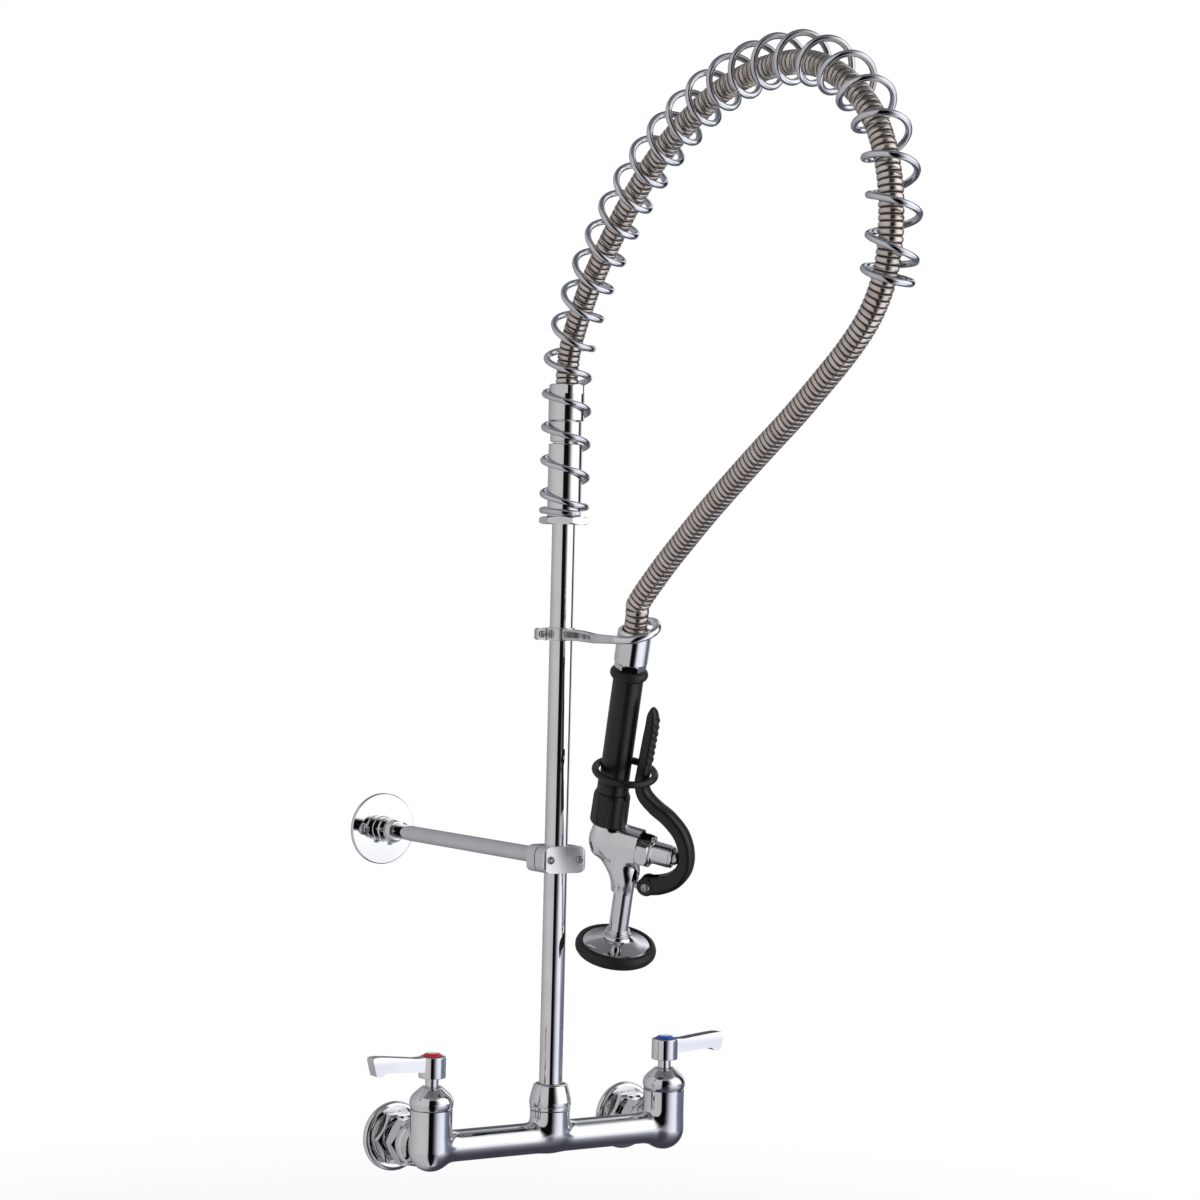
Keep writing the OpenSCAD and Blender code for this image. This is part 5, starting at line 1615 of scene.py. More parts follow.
# ---- riser
@dataclass
class Riser(Group):
    """Fittings on the riser pipe, from the dome nut at its foot to the hose nut."""

    place: Matrix
    pipe: float = PIPE
    pipe_bore: float = 6.25
    dome: float = 15.6
    crown: float = 12.6
    seat_flats: float = 32.2
    seat_turn: float = 17.6
    nut_flats: float = 24.6
    nut_flat_rise: float = 7.0
    hose_bore: float = 8.7

    def build(self) -> None:
        """Models and dresses the pipe and every fitting."""
        self.pipe_length()
        self.dome_nut()
        self.spring_seat()
        self.barrel()
        self.nipple()
        self.hose_nut()

    def pipe_length(self) -> None:
        """Draws the pipe itself."""
        low, high = self.span("riser_pipe")
        self.fitted(straight_tube("drawn_riser", high.x, self.pipe_bore, low.z, high.z), "riser_pipe")

    def dome_nut(self) -> None:
        """Turns the nut that clamps the riser: a band, a quirk and a swelling dome."""
        low, high = self.span("riser_nut")
        z, top, band = low.z, high.z, self.dome - 0.5
        self.fitted(turned_eased("domed_riser_nut", [
            (self.pipe, z, 0.1), (band - 0.5, z, 0.2), (band, z + 0.6, 0.4), (band, z + 2.4, 0.4),
            (band - 0.7, z + 2.9, 0.2), (self.dome - 0.3, z + 3.4, 0.5), (self.dome, z + 6.0, 9),
            (self.dome - 1.1, z + 12.0, 18), (self.crown, top - 0.8, 1.2), (self.crown - 1.3, top, 0.5),
            (self.pipe + 1.4, top, 0.3), (self.pipe + 1.3, top - 2.4, 0.1), (self.pipe, top - 2.4, 0)],
            sides=128, steps=5), "riser_nut")

    def spring_seat(self) -> None:
        """Turns and mills the hexagon that carries the spring."""
        low, high = self.span("spring_seat")
        corner = corner_reach(self.seat_flats)
        seat = turned_eased("milled_spring_seat", [
            (self.pipe, low.z, 0.2), (self.seat_flats / 2, low.z, 0.3), (corner, low.z + 1.3, 0.2),
            (corner, high.z - 1.3, 0.2), (self.seat_flats / 2, high.z, 0.3), (self.pipe, high.z, 0.2)],
            sides=120)
        self.fitted(hexed(seat, self.seat_flats, low.z - 1, high.z + 1,
                                 turn=radians(self.seat_turn)), "spring_seat")

    def barrel(self) -> None:
        """Turns the barrel between the seat and the nipple."""
        low, high = self.span("spring_barrel")
        r = high.x
        self.fitted(turned_eased("turned_barrel", [
            (self.pipe, low.z, 0.2), (r, low.z, 0.5), (r, high.z, 0.9), (self.pipe, high.z, 0.3)],
            sides=120), "spring_barrel")

    def nipple(self) -> None:
        """Turns the nipple: a bright band over a narrow joint."""
        low, high = self.span("hose_nipple")
        r, thread, bore = high.x, 8.5, 5.5
        foot = self.span("spring_barrel")[1].z + 1.5
        top = foot + 14.8
        self.fitted(turned_eased("turned_nipple", [
            (bore, low.z, 0.1), (thread, low.z, 0.4), (thread, foot - 1.4, 0.1), (r - 2, foot - 1.4, 0.1),
            (r - 2, foot, 0.1), (r, foot, 0.6), (r, top, 0.6), (thread, top, 0.2), (thread, high.z, 0.4),
            (bore, high.z, 0.1)], sides=120), "hose_nipple")

    def hose_nut(self) -> None:
        """Turns the hose nut and mills the flats at its top."""
        low, high = self.span("hose_nut")
        r = high.x
        flats = high.z - self.nut_flat_rise
        nut = turned_eased("milled_hose_nut", [
            (self.hose_bore, low.z, 0.3), (r, low.z, 0.9), (r, flats, 0.3), (r, high.z - 1.0, 0.4),
            (r - 1.2, high.z, 0.3), (self.hose_bore, high.z, 0.6)], sides=120)
        self.fitted(hexed(nut, self.nut_flats, flats, high.z + 1, turn=radians(9)), "hose_nut")


# ---- wall bracket
@dataclass
class WallBracket(Group):
    """The riser's stay: a two-part clamp, a ferrule, the tube and the wall flange."""

    riser: Matrix
    pipe: float = PIPE
    tube: float = 6.06
    tube_bore: float = 4.5
    clamp_corner: float = 3.0
    end_corner: float = 7.0
    clamp_slit: float = 0.5
    screw_spread: float = 12.5
    screw_hole: float = 2.1
    ferrule: float = 9.7
    wall_spread: float = 18.0

    def __post_init__(self) -> None:
        """Reads the stay's level from the bracket tube."""
        rise = centre_of("bracket_tube").z
        self.place = self.riser @ moved(0, 0, rise) @ BACKWARDS
        front = self.span("clamp_front")
        self.half_width, self.half_height, self.depth = front[1].x, front[1].y, -front[0].z

    def build(self) -> None:
        """Models and dresses every piece."""
        self.clamp(front=True)
        self.clamp(front=False)
        self.screws()
        self.tube_length()
        self.flange()

    def block(self, name: str, front: bool) -> Piece:
        """Models one half of the clamp with the riser's groove, rounded towards its ends.

        Args:
            name: Name of the piece.
            front: Whether it is the half away from the wall.

        Returns:
            The half, in the bracket frame.
        """
        w, d, h = self.half_width, self.depth, self.half_height
        plan = eased(rectangle(-w, -d, w, d), self.clamp_corner, 6, True)
        block = prism(name, plan, -h, h)
        # The plan lies across the riser, so the block is stood on its side
        block.data.transform(FORWARDS)
        ends = prism("ends", eased(rectangle(-w, -h, w, h), self.end_corner, 6, True), -40, 40)
        combined(block, ends, Union.COMMON)
        keep_low, keep_high = (-40, -self.clamp_slit) if front else (self.clamp_slit, 40)
        half = prism("half", rectangle(-40, -40, 40, 40), keep_low, keep_high)
        combined(block, half, Union.COMMON)
        bevelled(cleaned(block), 0.7, 3, 30)
        across = moved(0, 30, 0) @ FORWARDS
        drilled(block, self.pipe, across, 60, 96)
        for side in Side:
            drilled(block, self.screw_hole, moved(side.value * self.screw_spread, 0, -30), 60, 32)
        return cleaned(block)

    def clamp(self, front: bool) -> None:
        """Finishes one half; the back one carries the ferrule.

        Args:
            front: Whether it is the half away from the wall.
        """
        node = "clamp_front" if front else "clamp_back"
        block = self.block("rounded_" + node, front)
        if not front:
            end = self.span(node)[1].z
            r, start = self.ferrule, self.depth
            ring = turned_eased("ferrule", [
                (5.0, start - 3, 0), (r - 0.5, start - 3, 0), (r - 0.5, start, 0), (r, start + 0.2, 0.2),
                (r, start + 2.6, 0.6), (r - 1.4, start + 3.2, 0.3), (r - 1.8, start + 4.4, 0.8),
                (self.tube + 1.0, end - 0.6, 0.6), (self.tube + 0.7, end, 0.2), (5.0, end, 0)])
            combined(block, ring, Union.ADD)
            drilled(block, self.tube, moved(0, 0, start - 2), 60, 64)
        self.fitted(cleaned(block), node, SATIN_CHROME)

    def screws(self) -> None:
        """Models the clamp screws, the wall screws and the set screw."""
        # Each pair's distance apart, its heads' radius and height, and its shanks' radius and length
        for pair, spread, head, rise, shank, length in (
                ("clamp", self.screw_spread, 3.0, 2.4, 2.0, 2 * self.depth - 3),
                ("wall", self.wall_spread, 4.7, 3.2, 2.1, 2.9)):
            face = self.span(f"{pair}_screws_pair")[0].z + rise
            screws = []
            for side in Side:
                screw = cross_screw(f"{pair}_screw", head, rise, shank, length)
                screw.data.transform(moved(side.value * spread, 0, face) @ Matrix.Rotation(pi, 4, "X"))
                screws.append(screw)
            self.fitted(joined(f"{pair}_cross_screws", screws), f"{pair}_screws_pair", SCREW)
        low, high = self.span("bracket_set_screw")
        middle = (low + high) / 2
        length = high.y - low.y
        stud = turned_eased("stud", [(0, 0), (2, 0, 0.1), (2, length, 0.5), (0, length)], ring=False)
        key = prism("key", hexagon(2.0), length - 1.6, length + 1)
        combined(stud, key, Union.CUT)
        stud.data.transform(moved(middle.x, low.y, middle.z) @ BACKWARDS)
        stud.name = "socket_set_screw"
        self.fitted(cleaned(stud), "bracket_set_screw", SCREW)

    def tube_length(self) -> None:
        """Draws the stay's tube."""
        low, high = self.span("bracket_tube")
        self.fitted(straight_tube("drawn_stay", high.x, self.tube_bore, low.z, high.z), "bracket_tube")

    def flange(self) -> None:
        """Turns the mirror-bright wall plate and its stepped sleeve."""
        low, high = self.span("bracket_flange")
        rim, wall, nose = high.x, high.z, low.z
        face = wall - 3.0
        s, t = 10.0, self.tube
        plate = turned_eased("turned_wall_plate", [
            (t, nose, 0.2), (t + 1.6, nose, 0.6), (s - 1.2, nose + 4.2, 1.0), (s - 1.2, nose + 5.2, 0.2),
            (s, nose + 5.4, 0.3), (s, nose + 12.6, 0.4), (s - 0.8, nose + 13.2, 0.3),
            (s - 0.8, nose + 14.2, 0.3), (s, nose + 14.8, 0.4), (s, face - 0.4, 0.3),
            (s + 0.4, face, 0.2), (rim - 0.7, face, 0.3), (rim, face + 0.7, 0.3), (rim, wall, 0.2),
            (t, wall, 0)], sides=144)
        for side in Side:
            drilled(plate, self.screw_hole, moved(side.value * self.wall_spread, 0, face - 2), 9, 32)
        sunk = moved(0, 4, face - 8) @ BACKWARDS
        drilled(plate, self.screw_hole, sunk, 20, 32)
        self.fitted(cleaned(plate), "bracket_flange")


# ---- hook
@dataclass
class SprayHook(Group):
    """Hook that carries the spray valve: a band, its ear, a flat arm and a round finger."""

    riser: Matrix
    spray: Matrix
    pipe: float = PIPE
    band: float = 10.3
    half_height: float = 4.8
    pad: float = 7.0
    pad_height: float = 4.3
    thickness: float = 6.0
    slit: float = 0.8
    screw_inset: float = 4.0
    screw_hole: float = 1.66
    arm_height: float = 4.4
    bend_height: float = 3.2
    strip: float = 2.7
    wire: float = 2.95
    curl: float = 16.7
    draw_in: float = 2.4
    rise: float = 13.5

    def __post_init__(self) -> None:
        """Reads the hook's centre and reach from the frame."""
        self.centre = self.spray.to_translation()
        axis = self.riser.to_translation()
        self.reach = axis.y - self.centre.y
        self.place = moved(axis.x, axis.y, self.centre.z)
        self.ear = -self.span("spray_hook")[0].x

    def build(self) -> None:
        """Models and dresses the hook and its screw."""
        stock = self.pipe - 1
        hook = turned_eased("bent_hook", [
            (stock, -self.half_height, 0), (self.band, -self.half_height, 0.7),
            (self.band, self.half_height, 0.7), (stock, self.half_height, 0)], sides=128)
        combined(hook, self.ear_block(), Union.ADD)
        combined(hook, self.arm(), Union.ADD)
        drilled(hook, self.pipe, moved(0, 0, -10), 20, 128)
        slot = prism("slot", rectangle(-self.ear - 1, -self.slit / 2, -2, self.slit / 2), -10, 10)
        combined(hook, slot, Union.CUT)
        self.fitted(cleaned(hook), "spray_hook", self.plate())
        screw = cross_screw("hook_cross_screw", 2.7, 1.8, 1.6, 7)
        screw.data.transform(moved(self.screw_inset - self.ear, -self.thickness / 2, 0) @ FORWARDS)
        self.fitted(screw, "hook_screw", SCREW)

    def plate(self) -> HandBuffed:
        """Gives the hook's finish: satin at the band and bright along the finger."""
        return HandBuffed("chromium_plate_hand_buffed", "chrome_plate", "#ECECED", "#E2E2E4", 1.0,
                          0.26, 0.33, 5.0, 0.001, corner=tuple(self.place.to_translation()))

    def ear_block(self) -> Piece:
        """Models the ear: a root beside the band and a slightly lower screw pad.

        Returns:
            The ear with the hole of its screw.
        """
        h, p, half = self.half_height - 0.2, self.pad_height, self.thickness / 2
        step, root = self.pad - self.ear, 0.3 - self.pipe
        side = eased([(-self.ear, -p, 2.0), (step, -p, 0.3), (step + 0.6, -h, 0.5), (root, -h, 0),
                      (root, h, 0), (step + 0.6, h, 0.5), (step, p, 0.3), (-self.ear, p, 2.0)],
                      0.3, 5, True)
        ear = prism("ear", side, -10, 10)
        ear.data.transform(FORWARDS)
        plan = [(-self.ear - 1, 0.35 - half), (step, 0.35 - half), (step + 0.7, -half), (root + 1, -half),
                (root + 1, half), (step + 0.7, half), (step, half - 0.35), (-self.ear - 1, half - 0.35)]
        combined(ear, prism("plan", plan, -10, 10), Union.COMMON)
        bevelled(cleaned(ear), 0.4, 3, 50)
        across = moved(self.screw_inset - self.ear, 10, 0) @ FORWARDS
        return drilled(ear, self.screw_hole, across, 20, 32)

    def course(self) -> Track:
        """Lays the arm and the finger that curls round the leaning collar, from the hook's centre.

        Returns:
            The line of their middle.
        """
        up = self.spray.to_3x3() @ Vector((0, 0, 1))
        lean = up / up.z
        knots = [Vector((-self.strip * 0.6, self.reach - 8, 0)), Vector((-4, self.reach * 0.68, -0.2)),
                 Vector((-10, self.reach * 0.46, -0.6)), Vector((-15.5, self.reach * 0.27, -1))]
        for degrees in range(165, 386, 20):
            z = self.rise * OverheadSpring.ease((degrees - 215) / 160) - 1
            a = radians(degrees)
            hug = self.curl - self.draw_in * OverheadSpring.ease((degrees - 270) / 100)
            knots.append(hug * Vector((cos(a), sin(a), 0)) + lean * z)
        return Track(smooth_line(knots, 12))

    def arm(self) -> Piece:
        """Stretches the arm's skin: a flat strip that turns into round wire.

        Returns:
            The arm and finger, in the hook's own frame.
        """
        course = self.course()
        ease = OverheadSpring.ease
        stations = list(np.linspace(0, course.length - self.wire, 150))
        tip = [radians(a) for a in (15, 30, 45, 60, 75, 84)]
        stations += [course.length - self.wire + self.wire * sin(a) for a in tip]
        shrink = [1.0] * 150 + [cos(a) for a in tip]
        rings = []
        for s, scale in zip(stations, shrink):
            ahead = course.heading(s)
            side = Vector((0, 0, 1)).cross(ahead).normalized()
            flat = 1 - ease((s - self.reach * 0.55) / (self.reach * 0.5))
            wide = self.wire + (self.strip - self.wire) * flat + 0.8 * max(0, 1 - s / 6.5) ** 2
            tall = self.arm_height + (self.bend_height - self.arm_height) * min(s / (self.reach * 0.9), 1)
            tall += (self.wire - tall) * (1 - flat)
            middle = course.at(s) + Vector((0, -self.reach, 0))
            rings.append([middle + side * x * scale + ahead.cross(side) * y * scale
                          for x, y in oval(wide, tall, 2 + 2.5 * flat)])
        return skinned("arm", rings)


# ---- spray valve
@dataclass
class SprayValve(Group):
    """Spray valve from the hose's collar to the plunger's nut, in its own leaning frame."""

    body = "spray_head"
    place: Matrix
    bore: float = 5.0
    hose: float = 9.3
    ferrule: float = 8.56
    ferrule_flange: float = 10.06
    adapter_flats: float = 20.0
    adapter_turn: float = 18.5
    core: float = 7.5
    sliding_air: float = 0.06
    foot_rise: float = 7.0
    flutes: int = 10
    flute: float = 1.7
    socket: float = 10.4
    outlet: float = 9.7
    boss: float = 11.2
    web: float = 9.3
    nut_flats: float = 23.2
    pivot_hole: float = 2.55
    ring_swell: float = 0.25
    seat: float = 7.4
    seat_chamber: float = 6.0
    throat: float = 4.0
    nut_socket: float = 6.5
    tube_seat: float = 7.26

    def __post_init__(self) -> None:
        """Reads the levels of the plunger and the outlet from the frame."""
        low, high = self.span("plunger_nut")
        self.plunger_z = (low.z + high.z) / 2
        self.nut_x = high.x - 26.5
        self.plunger = (self.place @ moved(0, 0, self.plunger_z) @ Matrix.Rotation(pi / 2, 4, "Y"))
        low, high = self.span("nozzle_tube")
        self.outlet_x = (low.x + high.x) / 2
        self.outlet_z = high.z - 9
        low, high = self.span("pivot_screw")
        self.pivot = Vector(((low.x + high.x) / 2, 0, (low.z + high.z) / 2))
        self.sleeve = self.core + self.sliding_air

    def build(self) -> None:
        """Models and dresses every piece."""
        self.collar()
        self.adapter()
        self.bumper_ring()
        self.grip()
        self.fluted_nut()
        self.casting_body()
        self.plunger_nut()
        self.hold_ring()

    def collar(self) -> None:
        """Turns the collar that the hose runs into."""
        low, high = self.span("hose_collar")
        r, z, top = high.x, low.z, high.z
        self.fitted(turned_eased("turned_collar", [
            (self.bore, z, 0.1), (r - 0.9, z, 0.3), (r, z + 0.9, 0.5), (r, top - 1.7, 0.5),
            (r - 1.5, top, 0.5), (self.hose, top, 0.5), (self.hose, 0, 0.1), (self.ferrule, 0, 0),
            (self.ferrule, z + 4, 0), (self.ferrule_flange, z + 4, 0), (self.ferrule_flange, z + 0.6, 0),
            (self.bore, z + 0.6, 0)], sides=128), "hose_collar")

    def adapter(self) -> None:
        """Turns and mills the hexagon over the core that the grip slides on."""
        low, high = self.span("grip_core")
        seat = self.span("grip")[1].z + 4
        corner = corner_reach(self.adapter_flats)
        core = turned_eased("milled_adapter", [
            (self.bore, low.z, 0.2), (self.core, low.z, 0.2), (self.core, seat, 0),
            (self.adapter_flats / 2, seat, 0.2), (corner, seat + 0.9, 0.2), (corner, high.z - 0.9, 0.2),
            (self.adapter_flats / 2, high.z, 0.2), (self.bore, high.z, 0.2)], sides=120)
        hexed(core, self.adapter_flats, seat - 0.5, high.z + 1, turn=radians(self.adapter_turn))
        self.fitted(core, "grip_core")

    def bumper_ring(self) -> None:
        """Turns the rubber ring between the adapter and the grip."""
        high = self.span("bumper_ring")[1]
        wire = 4.0
        middle = high.z - wire
        reach = high.x - wire
        outline = [(self.sleeve, middle), *arc(reach, middle, wire, 124, -71, 24), (11.07, middle)]
        self.fitted(turned("rubber_ring", outline, 96), "bumper_ring", RUBBER)

    def grip(self) -> None:
        """Turns the grip's sleeve with its thicker foot."""
        low, high = self.span("grip")
        foot = high.x
        r, rise = foot - 0.7, low.z + self.foot_rise
        self.fitted(turned_eased("moulded_grip", [
            (self.sleeve, low.z, 0.2), (foot, low.z, 0.5), (foot, rise, 0.6), (r, rise + 0.8, 0.4),
            (r, high.z, 0.3), (self.sleeve, high.z, 0.2)], sides=112), "grip", NYLON)

    def fluted_nut(self) -> None:
        """Turns the grip's nut and cuts its finger flutes."""
        low, high = self.span("fluted_nut")
        r = high.y
        nut = turned_eased("moulded_fluted_nut", [
            (self.sleeve, low.z, 0.2), (r - 0.5, low.z, 0.3), (r, low.z + 1.0, 0.6),
            (r - 0.3, high.z - 3.2, 1.4), (r - 1.8, high.z, 0.8), (self.sleeve, high.z, 0.2)], sides=120)
        for k in range(self.flutes):
            turn = Matrix.Rotation(TURN * k / self.flutes, 4, "Z")
            drilled(nut, self.flute, turn @ moved(r + 0.9, 0, low.z - 1), high.z - low.z + 2, 24)
        self.fitted(bevelled(cleaned(nut), 0.35, 3, 30), "fluted_nut", NYLON)

    def casting(self) -> Casting:
        """Gives the shapes that the body is cast from.

        Returns:
            The casting, whose distance is its true surface.
        """
        p, x, z = self.plunger_z, self.outlet_x, self.outlet_z
        return Casting("cast_spray_body", (
            Rod((0, 0, p + 20), (0, 0, p - 1), self.socket, self.socket),
            Rod((0, 0, p - 1), (x, 0, p - 25), self.socket, self.outlet),
            Rod((x, 0, p - 25), (x, 0, z - 8), self.outlet, self.outlet),
            Rod((15, 0, p - 3), (x + 0.5, 0, p - 24), self.outlet, self.outlet),
            Rod((0, 0, p), (36, 0, p), self.boss, self.boss),
            Block((12, 0, p + 0.4), (19, self.web, 11.6), 3.6)), 7.0, 0.7)

    def casting_body(self) -> None:
        """Casts the body, faces its three ends, adds the lever's lug and bores it."""
        p, x, z = self.plunger_z, self.outlet_x, self.outlet_z
        casting = self.casting()
        body = casting.mesh()
        top = p + 13.9
        sliced(body, Vector((0, 0, top)), Vector((0, 0, 1)), lambda co: co.z > top - 4)
        sliced(body, Vector((x, 0, z)), Vector((0, 0, -1)), lambda co: co.z < z + 4)
        sliced(body, Vector((self.nut_x - 0.1, 0, 0)), Vector((1, 0, 0)), lambda co: co.x > self.nut_x - 4)
        pin = self.pivot.x
        lug = prism("lug", eased([(x + 4, p - 20, 0), (pin, p - 22, 3), (pin + 5, p - 27, 4.8),
                                  (pin, p - 32, 4.8), (x + 4, p - 35, 0)], 0.5, 6, True), -2.5, 2.5)
        lug.data.transform(FORWARDS)
        combined(body, bevelled(lug, 0.4, 2, 50), Union.ADD)
        drilled(body, self.bore, moved(0, 0, p), 30)
        drilled(body, self.seat_chamber, self.plunger_local() @ moved(0, 0, -4), self.seat + 4)
        drilled(body, self.throat, self.plunger_local(), 30)
        drilled(body, self.nut_socket, self.plunger_local() @ moved(0, 0, 11), 40)
        drilled(body, self.tube_seat, moved(x, 0, z - 1), 11)
        drilled(body, self.bore, moved(x, 0, z - 1), 34)
        drilled(body, self.pivot_hole, Matrix.Translation(self.pivot + Vector((0, 10, 0)))
                @ FORWARDS, 20, 32)
        bevelled(cleaned(body, 0.01), 0.35, 2, 50)
        placed(body, self.place, radians(40))
        mounted(polished(body, self.place, casting.distance), CHROME, self.body, "spray_body")

    def plunger_local(self) -> Matrix:
        """Gives the plunger's place within the valve's frame."""
        return moved(0, 0, self.plunger_z) @ Matrix.Rotation(pi / 2, 4, "Y")

    def plunger_nut(self) -> None:
        """Turns and mills the nut with the sleeve that guides the plunger."""
        low, high = span("plunger_nut", self.plunger)
        start, end = self.nut_x, high.z
        hexagon_end = start + 9.5
        corner, half = corner_reach(self.nut_flats), self.nut_flats / 2
        nut = turned_eased("milled_plunger_nut", [
            (3.05, low.z, 0.1), (6.44, low.z, 0.2), (6.44, start, 0), (half, start, 0.2),
            (corner, start + 1.3, 0.2), (corner, hexagon_end - 1.3, 0.2), (half, hexagon_end, 0.2),
            (9.5, hexagon_end, 0.2), (9.5, hexagon_end + 1.5, 0.5), (8.3, hexagon_end + 2, 0.2),
            (8.2, end - 2.7, 0.4), (7.6, end - 2.4, 0.1), (7.6, end - 1.9, 0.1), (8.0, end - 1.7, 0.1),
            (7.9, end - 0.6, 0.4), (7.0, end, 0.3), (5.05, end, 0.2), (5.05, end - 13, 0),
            (3.05, end - 13, 0)], sides=120)
        hexed(nut, self.nut_flats, start - 0.1, hexagon_end + 0.05)
        mounted(placed(nut, self.plunger), CHROME, self.body, "plunger_nut")

    def hold_ring(self) -> None:
        """Bends the ring that holds the lever down."""
        low, high = self.span("hold_open_ring")
        middle = (low + high) / 2
        wire = (high.z - low.z) / 2 + self.ring_swell
        ring = turned("moulded_ring", arc((high.x - low.x) / 2 - wire, 0, wire, 0, 352.5, 47), 128)
        mounted(placed(ring, self.place @ Matrix.Translation(middle)), NYLON, "hold_ring", "hold_open_ring")


# Course of the lever: distance from the grip's axis, height above the plunger, thickness
LEVER_ROUTE = ((36.6, -27, 14.6), (46.6, -23.6, 14.2), (56.2, -16.8, 13), (62.2, -6.4, 11.6),
               (62.2, 6.2, 11), (56.3, 19.3, 11), (45.1, 29.2, 11), (33.8, 35.2, 10.6), (24.6, 42.5, 10),
               (21.1, 51.6, 9.4), (21.1, 59.3, 9.2), (21.5, 71.8, 9), (22, 85.7, 8.8), (22.5, 98.1, 8.3),
               (22, 106.2, 6.8), (21.4, 110.6, 2.4))


@dataclass
class SprayLever(Group):
    """Squeeze lever: a forked foot on its pivot, a bow past the plunger and a ridged blade."""

    body = "lever"
    valve: SprayValve
    half_width: float = 6.3
    foot: float = 7.0
    foot_half: float = 6.4
    fork: float = 3.0
    pivot_hole: float = 2.56
    ridges: int = 7
    first_ridge: float = 67.5
    ridge_pitch: float = 5.1
    ridge_height: float = 0.9
    tip_start: float = 100.0
    tip_end: float = 111.4

    def __post_init__(self) -> None:
        """Takes the spray valve's frame."""
        self.place = self.valve.place

    def build(self) -> None:
        """Models and dresses the lever and its pivot screw."""
        lever = self.bow()
        pivot = self.valve.pivot
        across = Matrix.Translation(pivot) @ FORWARDS
        half = self.foot_half
        disc = turned_eased("disc", [(0, -half), (self.foot, -half, 1.6), (self.foot, half, 1.6),
                                     (0, half)], ring=False, sides=72, steps=5)
        disc.data.transform(across)
        combined(lever, disc, Union.ADD)
        slot = prism("slot", rectangle(pivot.x - 20, -self.fork, pivot.x + 8, self.fork),
                     pivot.z - 20, pivot.z + 16)
        combined(lever, slot, Union.CUT)
        drilled(lever, self.pivot_hole, moved(0, 10, 0) @ across, 20, 32)
        self.fitted(cleaned(lever), "spray_lever", NYLON, crease=radians(40))
        screw = cross_screw("pivot_cross_screw", 3.5, 1.6, 2.5, 2 * half)
        screw.data.transform(moved(0, -half, 0) @ across)
        self.fitted(screw, "pivot_screw", SCREW)

    def ridge(self, height: float) -> float:
        """Gives how far the blade's back swells at a height above the plunger."""
        share = (height - self.first_ridge) / self.ridge_pitch
        if not 0 < share < self.ridges:
            return 0.0
        return self.ridge_height * (0.5 - 0.5 * cos(TURN * share))

    def taper(self, height: float) -> float:
        """Gives the blade's share of its full width towards the tip."""
        share = min(max((height - self.tip_start) / (self.tip_end - self.tip_start), 0), 0.995)
        return sqrt(1 - share**2)

    def bow(self) -> Piece:
        """Stretches the lever's skin along its course.

        Returns:
            The lever before its foot is joined.
        """
        knots = smooth_line(LEVER_ROUTE, 12)
        course = Track([(k.x, 0, k.y) for k in knots])
        stations = np.linspace(0, course.length, 300)
        rings = []
        for s in stations:
            middle, ahead = course.at(s), course.heading(s, 0.8)
            back = Vector((ahead.z, 0, -ahead.x))
            half = max(float(np.interp(s, course.marks, [k.z for k in knots])) / 2, 0.35)
            swell = self.ridge(middle.z)
            wide = self.half_width * (self.taper(middle.z) if s > course.length / 2 else 1)
            rings.append([middle + Vector((0, 0, self.valve.plunger_z)) + Vector((0, y, 0))
                          + back * (x + swell * max(x / half, 0)) for x, y in oval(half, wide, 3.2, 32)])
        return skinned("moulded_lever", rings)


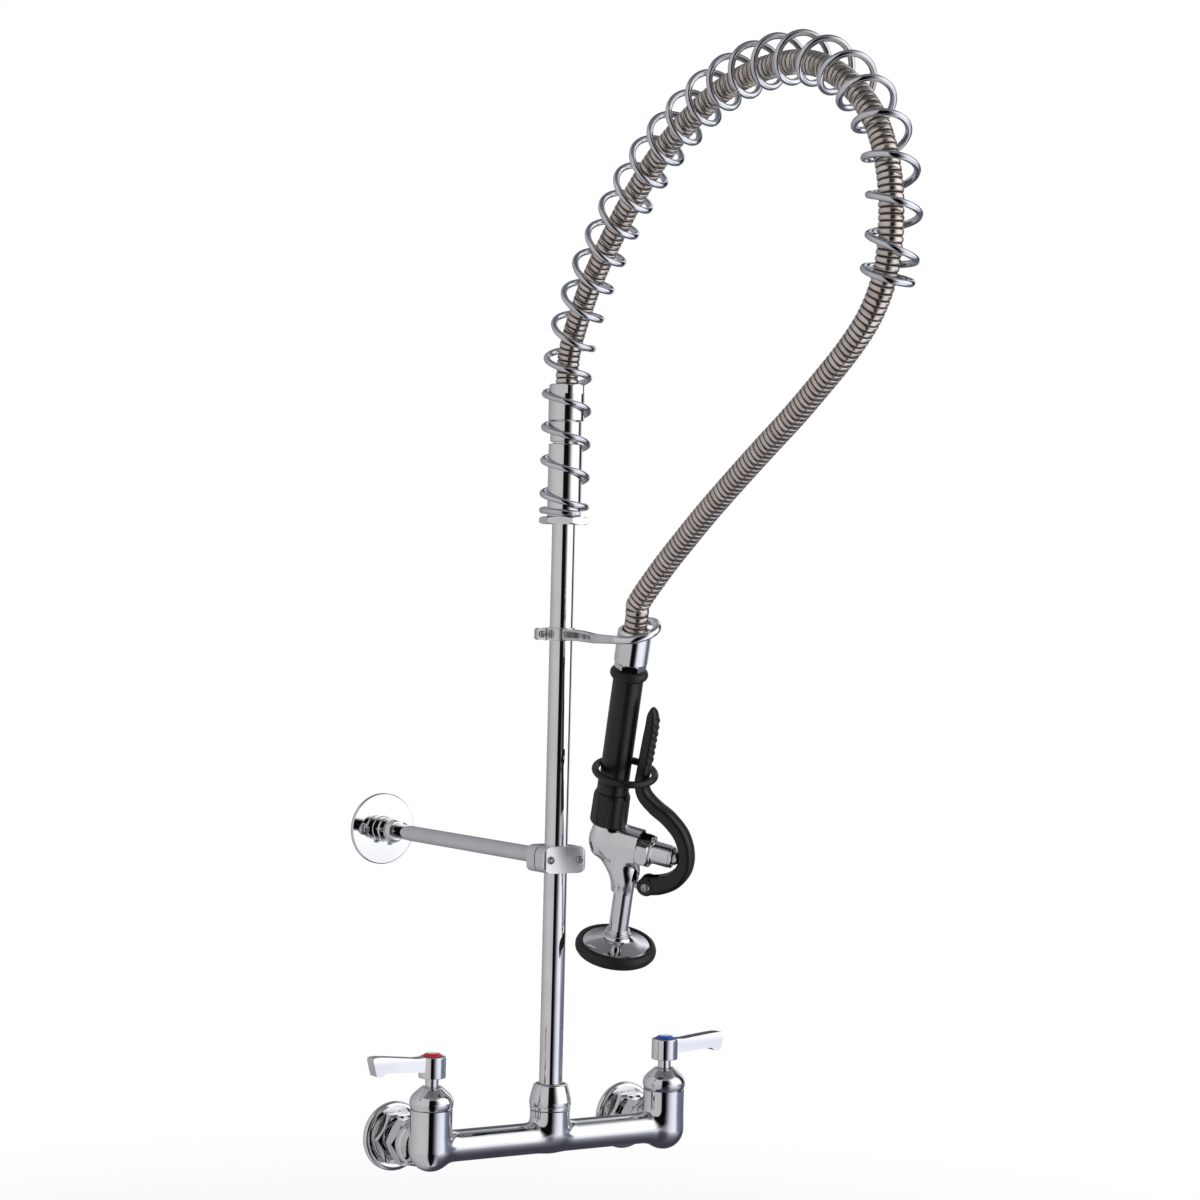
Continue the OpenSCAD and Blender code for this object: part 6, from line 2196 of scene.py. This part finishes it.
@dataclass
class SprayBell(Group):
    """Nozzle tube, spray bell and the rubber bumper round its rim."""

    body = "spray_head"
    valve: SprayValve
    tube_bore: float = 5.0

    def __post_init__(self) -> None:
        """Reads the bell's axis from the nozzle tube."""
        self.place = self.valve.place @ moved(self.valve.outlet_x, 0, 0)

    def build(self) -> None:
        """Models and dresses the pieces."""
        self.nozzle()
        self.bell()
        self.bumper()

    def nozzle(self) -> None:
        """Draws the tube between the body and the bell."""
        low, high = self.span("nozzle_tube")
        self.fitted(straight_tube("drawn_nozzle", high.x, self.tube_bore, low.z, high.z), "nozzle_tube")

    def bell(self) -> None:
        """Turns the bell: a stepped hub that flares into a shallow dish."""
        low, high = self.span("bell")
        r, z, top, seat = high.x, low.z, high.z, self.valve.tube_seat
        flare = smooth_line([(9.5, z + 8.4, 0), (10.3, z + 7.2, 0), (12.3, z + 5.9, 0), (15.8, z + 4.7, 0),
                             (20.2, z + 3.5, 0), (24.2, z + 2.2, 0)], 5)
        self.fitted(turned("turned_bell", [
            (seat, top), (8.2, top), (8.6, top - 0.15), (8.8, top - 0.5), (8.8, top - 1.5),
            (8.7, top - 1.8), (8.2, top - 2.0), (8.2, top - 2.5), (9.2, top - 2.7), (9.7, top - 3.1),
            (9.8, top - 3.7), (9.5, top - 4.3), *((p.x, p.y) for p in flare), (r - 0.2, z + 1.5),
            (r, z + 0.9), (r - 0.3, z + 0.2), (r - 0.9, z), (22.5, z), (22.5, z + 1.5), (20.5, z + 2),
            (self.tube_bore, z + 5), (self.tube_bore, z + 7), (seat, z + 7)], 144), "bell")

    def bumper(self) -> None:
        """Turns the rubber ring that grips the bell's rim."""
        low, high = self.span("bell_bumper")
        r, z, h = high.x, low.z, high.z - low.z
        rim = 25.56
        self.fitted(turned_eased("moulded_bumper", [
            (19.5, z, 0.6), (r - 2.0, z, 1.2), (r - 0.3, z + 2.4, 2.2), (r, z + 5.4, 2.2),
            (r - 1.3, z + h - 0.9, 1.6), (r - 3.2, z + h, 0.8), (rim, z + h, 0.4),
            (rim, z + h - 2.7, 0.1), (22.5, z + h - 2.7, 0.1), (22.5, z + h - 3.9, 0.1),
            (19.5, z + h - 3.9, 0.3)], sides=144, steps=5),
            "bell_bumper", RUBBER)


# ---- carried-over pieces
CARRIED = {
    CHROME: ("hose_end_top", "hose_end_spray"),
    BRASS: ("hot_cartridge", "cold_cartridge"),
    SCREW: ("plunger", "plunger_spring", "face_plate", "hot_handle_screw", "cold_handle_screw"),
    RUBBER: ("union_washers", "riser_packing", "hose_washer", "hose_liner", "seat_washer"),
}


def dress_carried() -> None:
    """Gives the CAD nodes that keep their own shape their finishes."""
    for finish, nodes in CARRIED.items():
        for node in nodes:
            dressed(frame["nodes"][node], finish)
            log.info("%s keeps its shape in %s", node, finish.name)


def main() -> None:
    """Builds the studio, then the faucet from its supply to its spray."""
    logging.basicConfig(level=logging.INFO, format="%(name)s: %(message)s")
    Studio().build()
    riser, spray = riser_place(), spray_place()
    hose = SupplyHose(riser, spray)
    hose.build()
    OverheadSpring(hose).build()
    Manifold(riser).build()
    for side in Side:
        Valve(side).build()
        Inlet(side).build()
    Riser(riser).build()
    WallBracket(riser).build()
    SprayHook(riser, spray).build()
    valve = SprayValve(spray)
    valve.build()
    SprayLever(valve).build()
    SprayBell(valve).build()
    dress_carried()


if __name__ == "__main__":
    main()
